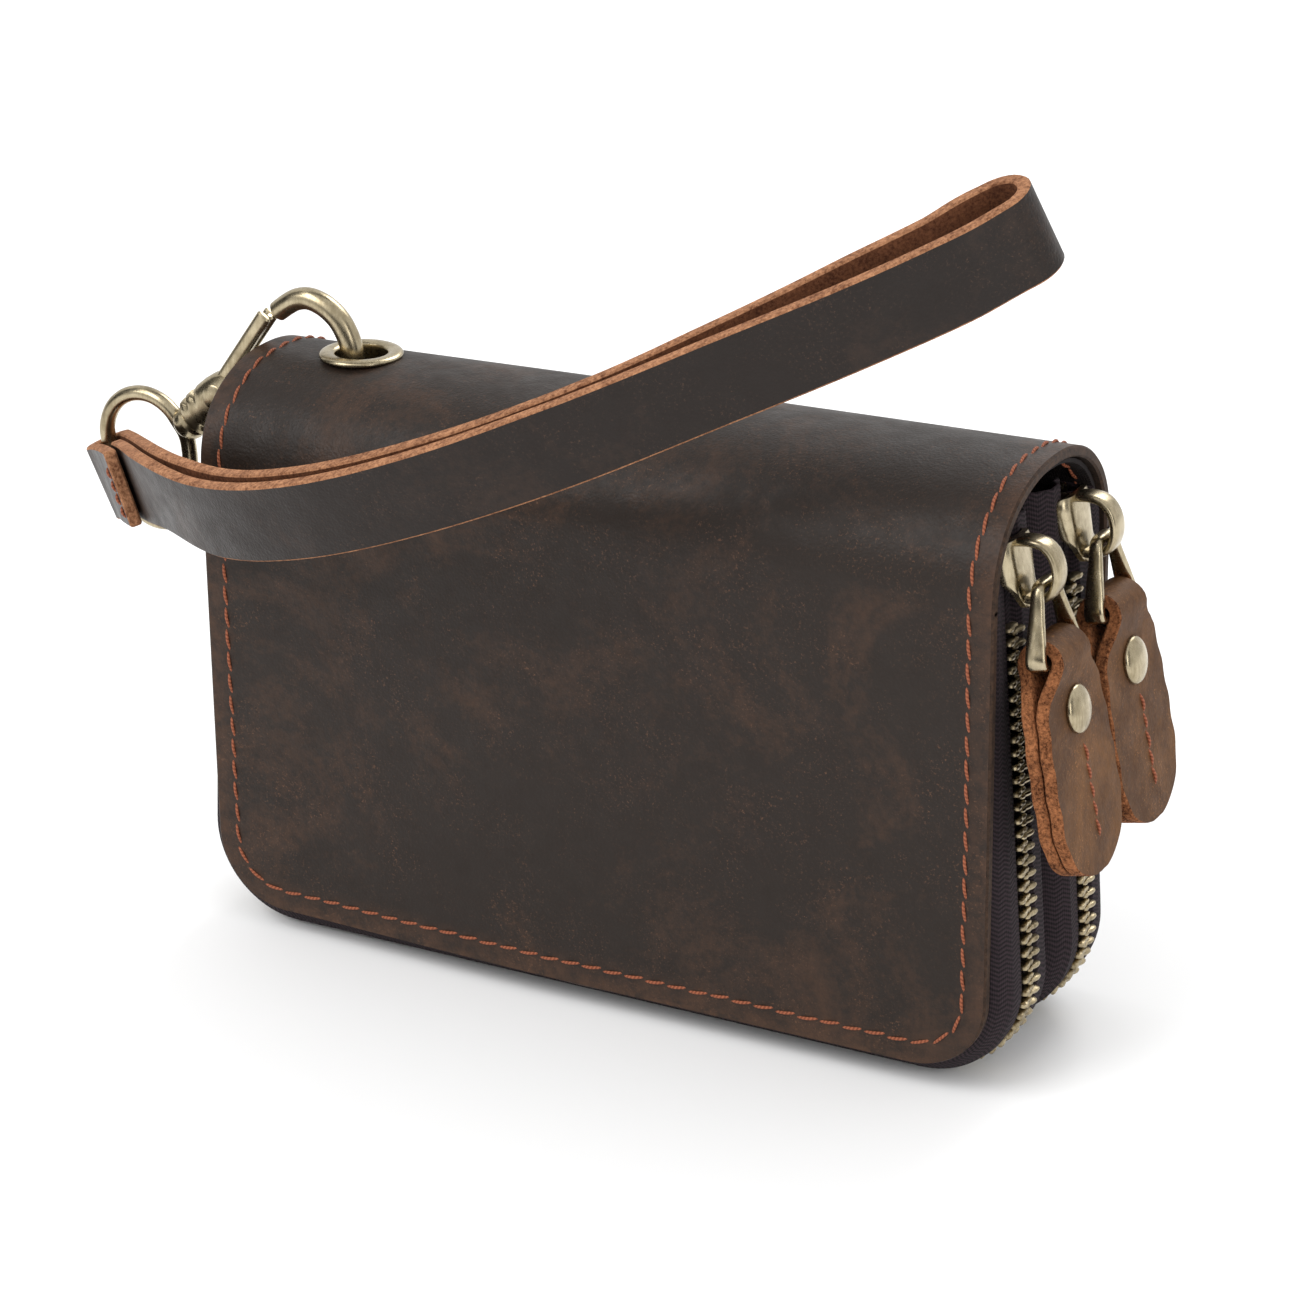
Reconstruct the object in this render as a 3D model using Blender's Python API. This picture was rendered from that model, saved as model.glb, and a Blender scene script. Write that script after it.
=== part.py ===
"""Zippered pouch: a two-compartment leather wrist purse standing on its zips.

One millimetre frame is used for every dimension: X runs along the pouch towards the
sliders, Y from front to back, Z up. The pouch's middle plane is at y = 0 in that frame
and everything is moved back by Y_SHIFT when it is placed.
"""

import math

import bmesh
import bpy
import numpy as np

MM = 0.001
Y_SHIFT = 10.6            # puts the frame origin under the front zip's inner row

# ---- pouch ---------------------------------------------------------------
HALF_W = 80.0             # half width of the leather panels
HALF_T = 25.0             # half thickness over the panels
PANEL_Z = 4.6             # lower edge of the panels above the table
PANEL_R = 14.0            # rounded lower corners of the panels
HINGE_Z = 80.2            # height of the crease each panel swings about
ARCH_Z = 91.0             # height where the wrap starts to curve over
CREST_MID = 110.4         # crest height at the middle of the pouch
CREST_SLOPE = 0.01625     # the crest rises towards the sliders
ARCH_POWER = 2.2          # fullness of the arch
LEATHER = 2.0
LINING = 0.8
GAP = 0.3

# ---- zips ----------------------------------------------------------------
ZIP_Y = 12.5              # each zip's centre line from the middle plane
ZIP_R = 18.4              # corner radius of the zip's route
ZIP_TILT = math.radians(4.0)
ZIP_SIDE_X = 84.15        # outermost point of the zip's route
ROW_TOP = 88.4            # where the inner rows end under the sliders
ROW_T = 2.4               # height of the teeth
ROW_IN = 0.7              # clear half gap between the rows, for the slider's web
ROW_OUT = 3.1
TAPE = 0.8
TAPE_N = -1.2             # tape's middle below the crest of the teeth

# ---- sliders and pulls ---------------------------------------------------
SLIDER_Z = 95.0
SLIDER_L = 11.0
SLIDER_HALF = 5.0
PIVOT_N = 5.2             # pull ring's top bar above the crest of the teeth
PIVOT_T = -1.8
BAR_X = 86.2              # pull ring's bottom bar
BAR_Z = 80.5
TAB_LEAN = math.radians(11.5)
TAB_T = 2.3
RIVET_Q = 9.5             # rivet below the bottom bar
RIVET_R = 4.3

# ---- eyelet and clasp ----------------------------------------------------
EYELET_X = -58.9
CLASP_X = -59.5
WIRE_R = 1.9
PIN = (-90.5, 97.5)
COLLAR = (-96.0, 92.6)
RING_C = (-108.8, 85.8)
RING_R = 9.0
RING_WIRE = 1.5

# ---- strap ---------------------------------------------------------------
STRAP_W = 14.4
STRAP_T = 2.4
FOLD_C = (-114.6, 0.0, 77.5)
FOLD_DIR = (-0.439, 0.0, 0.898)
# outer layer's middle line from the ring to the loop's bend, with the lean of its face
STRAP_ROUTE = (
    (-88.6, -26.8, 86.9, 0.33),
    (-63.2, -44.2, 91.0, 0.29),
    (-39.4, -52.4, 97.4, 0.31),
    (-15.2, -53.0, 106.1, 0.26),
    (10.8, -47.9, 117.3, 0.15),
    (36.9, -38.4, 129.9, 0.14),
    (56.1, -30.6, 139.3, 0.14),
    (70.9, -22.4, 147.0, 0.08),
    (79.5, -15.3, 152.4, 0.05),
)
BEND_R = 5.4

COLLECTION = "zippered_pouch"
PALETTE = {}


# ---- placing -------------------------------------------------------------
def clear_scene():
    """Remove whatever the file opened with."""
    for obj in list(bpy.data.objects):
        bpy.data.objects.remove(obj, do_unlink=True)


def material(name, colour, roughness, metallic=0.0):
    """One plain Principled material."""
    mat = bpy.data.materials.new(name)
    mat.use_nodes = True
    node = mat.node_tree.nodes["Principled BSDF"]
    node.inputs["Base Color"].default_value = (*colour, 1.0)
    node.inputs["Roughness"].default_value = roughness
    node.inputs["Metallic"].default_value = metallic
    return mat


def add(name, verts, faces, look, origin=(0.0, 0.0, 0.0)):
    """Place a closed mesh given in pouch millimetres, with its origin where asked."""
    colour, roughness, metallic = PALETTE[look]
    start = np.asarray(origin, float)
    verts = np.asarray(verts, float) - start
    mesh = bpy.data.meshes.new(name)
    mesh.from_pydata((verts * MM).tolist(), [], [list(map(int, f)) for f in faces])
    bm = bmesh.new()
    bm.from_mesh(mesh)
    bmesh.ops.recalc_face_normals(bm, faces=bm.faces)
    bm.to_mesh(mesh)
    bm.free()
    obj = bpy.data.objects.new(name, mesh)
    obj.location = (start + np.array([0.0, Y_SHIFT, 0.0])) * MM
    bpy.data.collections[COLLECTION].objects.link(obj)
    mesh.materials.append(material(name + "_look", colour, roughness, metallic))
    return obj


def cut(obj, cutters):
    """Boolean the cutters out of the object, then drop them."""
    for i, cutter in enumerate(cutters):
        cutter.hide_render = True
        cutter.display_type = "WIRE"
        mod = obj.modifiers.new(f"cut{i}", "BOOLEAN")
        mod.operation = "DIFFERENCE"
        mod.solver = "EXACT"
        mod.object = cutter
    bpy.context.view_layer.update()
    graph = bpy.context.evaluated_depsgraph_get()
    mesh = bpy.data.meshes.new_from_object(obj.evaluated_get(graph))
    obj.modifiers.clear()
    obj.data = mesh
    for cutter in cutters:
        bpy.data.objects.remove(cutter, do_unlink=True)


# ---- shape makers (all in millimetres) -----------------------------------
def unit(v):
    """Normalise vectors along the last axis."""
    v = np.asarray(v, float)
    return v / np.linalg.norm(v, axis=-1, keepdims=True)


def ring_faces(rows, ring, closed):
    """Quads between stacked rings, with flat ends or closed on itself."""
    faces = []
    for i in range(rows if closed else rows - 1):
        j = (i + 1) % rows
        for k in range(ring):
            m = (k + 1) % ring
            faces.append((i * ring + k, i * ring + m, j * ring + m, j * ring + k))
    if not closed:
        faces.append(tuple(range(ring))[::-1])
        faces.append(tuple((rows - 1) * ring + k for k in range(ring)))
    return faces


def sheet(name, grid, thick, look, origin=(0.0, 0.0, 0.0)):
    """A closed sheet of even thickness about a grid of points (stations, columns)."""
    grid = np.asarray(grid, float)
    along = np.gradient(grid, axis=0)
    across = np.gradient(grid, axis=1)
    normal = unit(np.cross(along, across)) * (thick / 2)
    upper = grid + normal
    lower = (grid - normal)[:, ::-1]
    rings = np.concatenate([upper, lower], axis=1)
    rows, ring = rings.shape[:2]
    return add(name, rings.reshape(-1, 3), ring_faces(rows, ring, False), look, origin)


def tube(name, points, radius, look, closed=False, sides=10, origin=(0.0, 0.0, 0.0),
         flat=(0.0, 1.0, 0.0), widths=None):
    """A round or oval wire along a planar route whose plane normal is `flat`."""
    points = np.asarray(points, float)
    if closed:
        tangent = unit(np.roll(points, -1, 0) - np.roll(points, 1, 0))
    else:
        tangent = unit(np.gradient(points, axis=0))
    e1 = np.broadcast_to(unit(flat), points.shape)
    e2 = unit(np.cross(tangent, e1))
    angle = np.linspace(0, 2 * math.pi, sides, endpoint=False)
    r1 = np.broadcast_to(radius if widths is None else widths, len(points))
    r2 = np.full(len(points), radius)
    ring = (points[:, None, :]
            + e1[:, None, :] * (r1[:, None] * np.cos(angle))[..., None]
            + e2[:, None, :] * (r2[:, None] * np.sin(angle))[..., None])
    faces = ring_faces(len(points), sides, closed)
    return add(name, ring.reshape(-1, 3), faces, look, origin)


def axes(direction, side):
    """Right-handed axes: side, cross, direction."""
    d = unit(direction)
    s = np.asarray(side, float)
    s = unit(s - d * float(s @ d))
    return s, np.cross(d, s), d


def stack(name, profile, centre, direction, look, sides=24, ring=False,
          origin=(0.0, 0.0, 0.0)):
    """Turned shape from (radius, height) pairs; `ring` closes the profile on itself."""
    s, c, d = axes(direction, (0.123, 0.456, 0.789))
    angle = np.linspace(0, 2 * math.pi, sides, endpoint=False)
    spoke = np.cos(angle)[:, None] * s + np.sin(angle)[:, None] * c
    rows = [np.asarray(centre) + spoke * r + d * h for r, h in profile]
    faces = ring_faces(len(rows), sides, ring)
    return add(name, np.concatenate(rows), faces, look, origin)


def slab(name, outline, start, end, look, origin=(0.0, 0.0, 0.0)):
    """Prism: a flat outline of 3-D points moved by `start` and by `end`."""
    outline = np.asarray(outline, float)
    rows = np.concatenate([outline + np.asarray(start), outline + np.asarray(end)])
    return add(name, rows, ring_faces(2, len(outline), False), look, origin)


def xz(pairs, y=0.0):
    """Turn (x, z) pairs into points."""
    return [(x, y, z) for x, z in pairs]


def rounded(half, low, top, radius, steps=6):
    """Outline of a panel with rounded lower corners, as (x, z) pairs."""
    right = []
    for i in range(steps + 1):
        a = -math.pi / 2 + math.pi / 2 * i / steps
        right.append((half - radius + radius * math.cos(a), low + radius + radius * math.sin(a)))
    right.append((half, top))
    return right + [(-x, z) for x, z in right[::-1]]


# ---- zip route -----------------------------------------------------------
def zip_route(top):
    """Stations up the right half of the zip: zip point, its outward, panel edge, its outward."""
    out = []
    cx = ZIP_SIDE_X - ZIP_R * math.cos(ZIP_TILT)
    steps = 7
    for i in range(steps + 1):
        share = i / steps
        a = -math.pi / 2 + (math.pi / 2 + ZIP_TILT) * share
        n = (math.cos(a), math.sin(a))
        p = (cx + ZIP_R * n[0], ZIP_R + ZIP_R * n[1])
        b = -math.pi / 2 + math.pi / 2 * share
        m = (math.cos(b), math.sin(b))
        e = (HALF_W - PANEL_R + PANEL_R * m[0], PANEL_Z + PANEL_R + PANEL_R * m[1])
        out.append((p, n, e, m))
    low = out[-1][0]
    n = (math.cos(ZIP_TILT), math.sin(ZIP_TILT))
    x = low[0] - (top - low[1]) * math.tan(ZIP_TILT)
    out.append(((x, top), n, (HALF_W, top), (1.0, 0.0)))
    return out


def zip_grid(columns, top):
    """Grid round the pouch from columns of (on panel edge?, outward offset, y)."""
    right = zip_route(top)
    rows = []
    for p, n, e, m in right:
        row = []
        for on_panel, off, y in columns:
            base, way = (e, m) if on_panel else (p, n)
            row.append((base[0] + way[0] * off, y, base[1] + way[1] * off))
        rows.append(row)
    right = np.array(rows)
    left = right[::-1] * np.array([-1.0, 1.0, 1.0])
    return np.concatenate([left, right])


def blend_column(grid, a, b, share, bulge):
    """Put a column between two others, pushed outwards a little."""
    mid = grid[:, a] * (1 - share) + grid[:, b] * share
    away = unit(mid - np.array([0.0, 0.0, 55.0]))
    away[:, 1] = 0.0
    return np.insert(grid, b, mid + away * bulge, axis=1)


# ---- leather wrap and interior -------------------------------------------
def arch_grid(depth, low, half, columns=2):
    """Arch over the top: `depth` below the leather's outer face."""
    turn = np.linspace(0, math.pi, 21)
    xs = np.linspace(-half, half, columns)
    rows = []
    for x in xs:
        rise = CREST_MID + CREST_SLOPE * x - depth - ARCH_Z
        c, s = np.cos(turn), np.sin(turn)
        y = -(HALF_T - depth) * np.sign(c) * np.abs(c) ** (2 / ARCH_POWER)
        z = ARCH_Z + rise * np.abs(s) ** (2 / ARCH_POWER)
        y = np.concatenate([[y[0]], y, [y[-1]]])
        z = np.concatenate([[low], z, [low]])
        rows.append(np.stack([np.full(len(y), x), y, z], axis=1))
    return np.array(rows)


def crest(x):
    """Height of the wrap's crest."""
    return CREST_MID + CREST_SLOPE * x


def build_wrap():
    """Arched spine with its lining, and the punched hole for the eyelet."""
    hole = (EYELET_X, 0.0, crest(EYELET_X))
    spine = sheet("spine_leather", arch_grid(1.0, HINGE_Z + 0.2, HALF_W), LEATHER, "leather")
    cut(spine, [stack("hole_a", [(5.95, -9), (5.95, 9)], hole, (0, 0, 1), "brass", 20)])
    inner = sheet("spine_lining", arch_grid(2.7, HINGE_Z + 3.0, HALF_W - 1.0), LINING, "lining")
    cut(inner, [stack("hole_b", [(5.95, -9), (5.95, 9)], hole, (0, 0, 1), "brass", 20)])


def build_cover(side, sign):
    """One swinging cover: panel, lining, outer tape and outer row of teeth."""
    origin = (0.0, sign * HALF_T, HINGE_Z)
    y_out = sign * HALF_T
    y_in = sign * (HALF_T - LEATHER)
    top = HINGE_Z - 0.2
    outline = xz(rounded(HALF_W, PANEL_Z, top, PANEL_R))
    slab(f"{side}_panel", outline, (0, y_out, 0), (0, y_in, 0), "leather", origin)
    y_a = sign * 21.6
    y_b = sign * 20.8
    outline = xz(rounded(HALF_W - 4.0, PANEL_Z + 4.4, top - 1.0, PANEL_R - 3.0))
    slab(f"{side}_lining", outline, (0, y_a, 0), (0, y_b, 0), "lining", origin)
    columns = [
        (False, TAPE_N, sign * (ZIP_Y + ROW_OUT + GAP)),
        (False, TAPE_N, sign * (ZIP_Y + 6.6)),
        (True, -0.8, sign * 22.3),
        (True, -8.0, sign * 22.3),
    ]
    grid = blend_column(zip_grid(columns, top - 0.4), 1, 2, 0.62, 0.5)
    sheet(f"{side}_outer_tape", grid, TAPE, "tape", origin)
    build_row(f"{side}_outer_teeth", sign, 1, top - 0.4, origin)


def build_row(name, sign, away, top, origin):
    """A plain bar where a row of teeth runs."""
    near = sign * (ZIP_Y + away * ROW_IN)
    far = sign * (ZIP_Y + away * ROW_OUT)
    columns = [(False, -ROW_T / 2, near), (False, -ROW_T / 2, far)]
    sheet(name, zip_grid(columns, top), ROW_T, "brass", origin)


def build_inner_zip(side, sign):
    """The half of a zip that stays with the divider."""
    columns = [
        (False, TAPE_N, sign * (ZIP_Y - ROW_OUT - GAP)),
        (False, TAPE_N, sign * (ZIP_Y - 6.6)),
        (False, -4.0, sign * 2.9),
        (False, -8.0, sign * 1.45),
        (False, -14.0, sign * 1.45),
    ]
    sheet(f"{side}_inner_tape", zip_grid(columns, ROW_TOP), TAPE, "tape")
    build_row(f"{side}_inner_teeth", sign, -1, ROW_TOP, (0.0, 0.0, 0.0))


def build_interior():
    """Divider board and the pocket pieces sewn to it."""
    outline = [(-60, 10), (60, 10), (70, 20), (73, 30), (73, 105.4), (-48, 105.4),
               (-48, 90), (-73, 90), (-73, 30), (-70, 20)]
    slab("divider", xz(outline), (0, -0.6, 0), (0, 0.6, 0), "lining")
    for name, top, y in (("card_pocket_back", 66, -1.5), ("card_pocket_front", 50, -2.7),
                         ("slip_pocket", 72, 1.5)):
        outline = [(-58, 20), (58, 20), (58, top), (-58, top)]
        slab(name, xz(outline), (0, y - 0.4, 0), (0, y + 0.4, 0), "lining")


# ---- sliders and pulls ---------------------------------------------------
def slider_axes(sign):
    """Centre on the crest of the teeth, outward and upward directions."""
    x = ZIP_SIDE_X - (SLIDER_Z - ZIP_R - ZIP_R * math.sin(ZIP_TILT)) * math.tan(ZIP_TILT)
    centre = np.array([x, sign * ZIP_Y, SLIDER_Z])
    out = np.array([math.cos(ZIP_TILT), 0.0, math.sin(ZIP_TILT)])
    up = np.array([-math.sin(ZIP_TILT), 0.0, math.cos(ZIP_TILT)])
    return centre, out, up


def build_slider(side, sign):
    """Slider body straddling both rows, and the cast bridge over it."""
    centre, out, up = slider_axes(sign)
    cross = np.array([0.0, 1.0, 0.0])
    half = [(1.6, SLIDER_HALF), (-0.5, SLIDER_HALF), (-0.5, 3.7), (0.4, 3.7), (0.4, 0.35),
            (-2.8, 0.35), (-2.8, 3.7), (-1.9, 3.7), (-1.9, SLIDER_HALF), (-4.0, SLIDER_HALF)]
    outline = half + [(n, -y) for n, y in half[::-1]]
    points = [centre + out * n + cross * y for n, y in outline]
    reach = up * SLIDER_L / 2
    slab(f"{side}_slider_body", points, -reach, reach, "brass", tuple(centre))
    route = [(1.9, 4.9), (4.4, 4.9), (6.4, 4.0), (7.6, 2.0), (7.9, -0.4), (7.3, -2.7),
             (5.9, -4.3), (4.0, -4.9), (1.9, -4.9)]
    grid = [[centre + out * n + up * t + cross * y for y in (-2.2, 2.2)] for n, t in route]
    sheet(f"{side}_slider_bridge", grid, 1.5, "brass", tuple(centre))


def build_pull(side, sign):
    """Ring through the bridge, folded leather tab and its two-piece rivet."""
    centre, out, up = slider_axes(sign)
    pivot = centre + out * PIVOT_N + up * PIVOT_T
    bar = np.array([BAR_X, sign * ZIP_Y, BAR_Z])
    down = unit(bar - pivot)
    length = float(np.linalg.norm(bar - pivot))
    half = [(0.0, 0.0), (2.6, 0.0), (3.5, 0.7), (3.9, 2.0), (5.4, 6.5), (7.2, length - 1.6),
            (7.1, length - 0.5), (6.2, length), (0.0, length)]
    loop = [(y, q) for y, q in half] + [(-y, q) for y, q in half[-2:0:-1]]
    points = [pivot + down * q + np.array([0.0, y, 0.0]) for y, q in loop]
    widths = [1.0 + 0.75 * min(1.0, max(0.0, q) / length) for _, q in loop]
    widths = [w if q > 0.1 else 0.95 for (_, q), w in zip(loop, widths)]
    plane = np.cross(down, np.array([0.0, 1.0, 0.0]))
    tube(f"{side}_pull_ring", points, 0.8, "brass", True, 8, tuple(pivot), plane,
         np.array(widths))
    build_tab(side, bar)


def build_tab(side, bar):
    """Leather tab folded over the ring's bottom bar."""
    down = np.array([math.sin(TAB_LEAN), 0.0, -math.cos(TAB_LEAN)])
    out = np.array([math.cos(TAB_LEAN), 0.0, math.sin(TAB_LEAN)])
    leaf = [(38.6, 1.3, 4.0), (37.4, 1.3, 7.0), (35.0, 1.3, 9.6), (31.5, 1.3, 11.3),
            (27.0, 1.3, 12.0), (20.0, 1.3, 11.8), (13.5, 1.3, 10.8), (8.0, 1.3, 9.4),
            (5.0, 1.45, 8.3), (2.5, 2.3, 7.2), (0.0, 3.2, 6.2)]
    turn = [(-3.2 * math.sin(a), 3.2 * math.cos(a), 5.0)
            for a in (0.5, 1.05, math.pi / 2, math.pi - 1.05, math.pi - 0.5)]
    route = leaf + turn + [(q, -m, w) for q, m, w in leaf[::-1]]
    grid = [[bar + down * q + out * m + np.array([0.0, y, 0.0]) for y in (-w, w)]
            for q, m, w in route]
    tab = sheet(f"{side}_pull_tab", grid, TAB_T, "tab", tuple(bar))
    seat = bar + down * RIVET_Q
    cut(tab, [stack("hole_c", [(1.35, -9), (1.35, 9)], seat, out, "brass", 12)])
    cap = [(RIVET_R - 0.1, 2.85), (RIVET_R, 3.2), (3.6, 3.8), (2.2, 4.25), (0.8, 4.4)]
    stack(f"{side}_rivet_cap", cap, seat, out, "brass", 24, False, tuple(bar))
    post = [(1.5, -3.9), (3.4, -3.6), (RIVET_R - 0.2, -3.1), (RIVET_R - 0.2, -2.8), (1.0, -2.8),
            (1.0, 2.5)]
    stack(f"{side}_rivet_post", post, seat, out, "brass", 24, False, tuple(bar))


# ---- eyelet and clasp ----------------------------------------------------
def build_eyelet():
    """Eyelet through the crest with its washer inside."""
    seat = (EYELET_X, 0.0, crest(EYELET_X))
    profile = [(4.8, -5.3), (5.6, -5.3), (5.6, 0.3), (7.85, 0.3), (7.85, 0.7), (6.6, 1.35),
               (5.2, 1.2), (4.8, 0.6)]
    stack("eyelet", profile, seat, (0, 0, 1), "brass", 32, True)
    washer = [(5.95, -4.9), (7.7, -4.9), (7.7, -4.1), (5.95, -4.1)]
    stack("eyelet_washer", washer, seat, (0, 0, 1), "brass", 32, True)


def clasp_point(h, z):
    """Point in the clasp's plane, h to the left of its pivot."""
    return (CLASP_X - h, 0.0, z)


def build_clasp():
    """Hook with its slotted base, then the gate and the swivel ring."""
    origin = clasp_point(0.0, crest(CLASP_X))
    route = [(15.0, 117.2), (13.3, 118.3), (10.0, 118.9), (6.9, 117.9), (4.0, 115.7),
             (2.1, 112.6), (1.3, 109.5), (1.4, 106.0), (2.3, 103.2), (5.2, 100.9), (10.0, 99.3),
             (18.0, 96.6), (24.0, 94.2), (28.5, 92.4), (33.2, 92.6)]
    neck = unit(np.array([COLLAR[0] - PIN[0], 0.0, COLLAR[1] - PIN[1]]))
    side = np.array([-neck[2], 0.0, neck[0]])
    hook = tube("clasp_hook", [clasp_point(*p) for p in route], WIRE_R, "brass", False, 10, origin)
    pin = np.array([PIN[0], 0.0, PIN[1]])
    outline = [pin + neck * a + side * b for a, b in
               ((-3.4, 1.6), (-2.0, 3.2), (0.5, 4.0), (3.5, 4.0), (6.6, 3.0), (8.6, 3.0), (8.6, -3.0),
                (6.6, -3.0), (3.5, -3.6), (-0.5, -3.9), (-2.6, -3.0), (-3.4, -1.6))]
    base = slab("base", outline, (0, -2.8, 0), (0, 2.8, 0), "brass", origin)
    join(hook, base)
    slot = [pin + neck * a + side * b for a, b in ((-9, -9), (2.6, -9), (2.6, 9), (-9, 9))]
    cutters = [slab("slot", slot, (0, -1.5, 0), (0, 1.5, 0), "brass"),
               stack("hole_d", [(1.0, -9), (1.0, 9)], pin, (0, 1, 0), "brass", 12)]
    socket = pin + neck * 8.6
    cutters.append(stack("socket", [(1.5, -3.6), (1.5, 3)], socket, neck, "brass", 12))
    cut(hook, cutters)
    build_gate(pin)
    build_swivel()


def join(obj, other):
    """Union another solid into the object."""
    mod = obj.modifiers.new("join", "BOOLEAN")
    mod.operation = "UNION"
    mod.solver = "EXACT"
    mod.object = other
    bpy.context.view_layer.update()
    graph = bpy.context.evaluated_depsgraph_get()
    mesh = bpy.data.meshes.new_from_object(obj.evaluated_get(graph))
    obj.modifiers.clear()
    obj.data = mesh
    bpy.data.objects.remove(other, do_unlink=True)


def build_gate(pin):
    """Gate lever in the base's slot, and the pin it turns on."""
    tip = np.array([clasp_point(18.4, 114.9)]).ravel()
    way = unit(tip - pin)
    side = np.array([-way[2], 0.0, way[0]])
    reach = float(np.linalg.norm(tip - pin))
    outline = [pin + way * a + side * b for a, b in
               ((-1.6, -1.0), (-1.6, 1.0), (0.0, 1.9), (3.5, 1.9), (6.0, 1.6), (reach, 1.6),
                (reach, -0.6), (6.0, -0.6), (3.5, -1.0), (0.0, -1.9))]
    gate = slab("clasp_gate", outline, (0, -1.15, 0), (0, 1.15, 0), "brass", tuple(pin))
    cut(gate, [stack("hole_e", [(1.0, -9), (1.0, 9)], pin, (0, 1, 0), "brass", 12)])
    shank = [(2.3, -3.5), (2.5, -3.3), (2.5, -3.1), (0.7, -3.1), (0.7, 3.1), (1.6, 3.1), (1.6, 3.5)]
    stack("gate_pin", shank, pin, (0, 1, 0), "brass", 20, False, tuple(pin))


def build_swivel():
    """Eye ring with the headed post that turns in the base's socket."""
    pin = np.array([PIN[0], 0.0, PIN[1]])
    neck = unit(np.array([COLLAR[0] - PIN[0], 0.0, COLLAR[1] - PIN[1]]))
    socket = pin + neck * 8.6
    cx, cz = RING_C
    arc = []
    for i in range(11):
        a = math.radians(32.0 + 148.0 * i / 10)
        arc.append((cx + RING_R * math.cos(a), cz + RING_R * math.sin(a)))
    low = [(-117.2, 82.7), (-114.6, 77.5), (-112.2, 72.6), (-110.2, 70.3), (-107.2, 69.2),
           (-103.7, 69.7), (-100.7, 72.6), (-99.2, 77.0), (-98.7, 82.0), (-99.2, 87.4)]
    ring = tube("swivel_ring", xz(arc + low), RING_WIRE, "brass", True, 10, tuple(socket))
    post = [(1.15, -3.1), (1.15, 0.3), (2.7, 0.4), (2.7, 1.4), (1.9, 2.2), (1.7, 4.2)]
    knob = stack("post", post, socket, neck, "brass", 12)
    join(ring, knob)


# ---- strap ---------------------------------------------------------------
def smooth_route(points, count):
    """Points evenly spread in parameter along a Catmull-Rom curve."""
    p = np.asarray(points, float)
    p = np.concatenate([[2 * p[0] - p[1]], p, [2 * p[-1] - p[-2]]])
    out = []
    for value in np.linspace(0, len(p) - 3, count):
        i = min(int(value), len(p) - 4)
        t = value - i
        a, b, c, d = p[i:i + 4]
        out.append(0.5 * (2 * b + (c - a) * t + (2 * a - 5 * b + 4 * c - d) * t ** 2
                          + (3 * b - a - 3 * c + d) * t ** 3))
    return np.array(out)


def strap_frames(count):
    """Middle line of the outer layer with its width and facing directions."""
    fold = np.array([*FOLD_C, 0.0])
    knots = smooth_route(np.array([fold, *STRAP_ROUTE]), count)
    line = knots[:, :3]
    tangent = unit(np.gradient(line, axis=0))
    up = np.array([0.0, 0.0, 1.0])
    width = unit(up - tangent * (tangent @ up)[:, None])
    face = np.cross(tangent, width)
    lean = knots[:, 3:4]
    width = width * np.cos(lean) + face * np.sin(lean)
    # near the ring the width turns to lie along the ring's bar
    share = np.clip(1 - np.arange(count)[:, None] / (count * 0.11), 0, 1)
    width = width * (1 - share) + np.array(FOLD_DIR) * share
    width = unit(width - tangent * np.sum(width * tangent, 1, keepdims=True))
    return line, width, np.cross(tangent, width), tangent


def build_strap():
    """One long strip: flap, fold round the ring, back layer, bend, front layer."""
    line, width, face, tangent = strap_frames(61)
    travel = np.concatenate([[0.0], np.cumsum(np.linalg.norm(np.diff(line, axis=0), axis=1))])
    spread = np.interp(line[:, 0], [-112, -104, -82, -68, -40, 0, 25, 45, 60, 70, 77],
                       [3.5, 3.1, 3.1, 4.3, 4.4, 3.7, 4.2, 7.4, 9.8, 10.8, 2 * BEND_R])
    picks = [i for i in range(0, 61, 2) if travel[i] > 1.0] + [60]
    picks = sorted(set(picks))
    back = [(line[i] - face[i] * spread[i], width[i]) for i in picks]
    front = [(line[i], width[i]) for i in picks if travel[i] > 9.0][::-1]
    flap = [(line[i] + face[i] * 3.1, width[i]) for i in picks if travel[i] < 27.0]
    flap = flap[::-1]
    turn = []
    for a in np.linspace(math.pi / 2, -math.pi / 2, 7):
        spot = line[0] + 3.5 * (face[0] * math.sin(a) - tangent[0] * math.cos(a))
        turn.append((spot, width[0]))
    middle = line[60] - face[60] * BEND_R
    bend = []
    for a in np.linspace(-math.pi / 2, math.pi / 2, 9)[1:-1]:
        bend.append((middle + BEND_R * (face[60] * math.sin(a) + tangent[60] * math.cos(a)),
                     width[60]))
    route = flap + turn + back + bend + front
    half = STRAP_W / 2
    grid = [[p - w * half, p + w * half] for p, w in route]
    sheet("wrist_strap", grid, STRAP_T, "strap", FOLD_C)


def main():
    """Build every piece."""
    clear_scene()
    bpy.context.scene.collection.children.link(bpy.data.collections.new(COLLECTION))
    PALETTE.update({
        "leather": ((0.045, 0.03, 0.022), 0.55, 0.0),
        "strap": ((0.04, 0.028, 0.022), 0.5, 0.0),
        "tab": ((0.16, 0.08, 0.04), 0.65, 0.0),
        "lining": ((0.05, 0.035, 0.03), 0.85, 0.0),
        "tape": ((0.035, 0.022, 0.026), 0.85, 0.0),
        "brass": ((0.42, 0.36, 0.24), 0.35, 1.0),
    })
    build_wrap()
    build_interior()
    for side, sign in (("front", -1), ("back", 1)):
        build_cover(side, sign)
        build_inner_zip(side, sign)
        build_slider(side, sign)
        build_pull(side, sign)
    build_eyelet()
    build_clasp()
    build_strap()


main()
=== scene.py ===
# %% [markdown]
# # A leather pouch that stands on its zips
# This notebook dresses a plain CAD model of a wrist pouch. The CAD pieces decide where
# everything is and how it moves. Here each piece gets a finer surface and a finish.
# Surfaces are computed with numpy as grids of points, so every shape is a formula.

# %% Load the frame
import math

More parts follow.
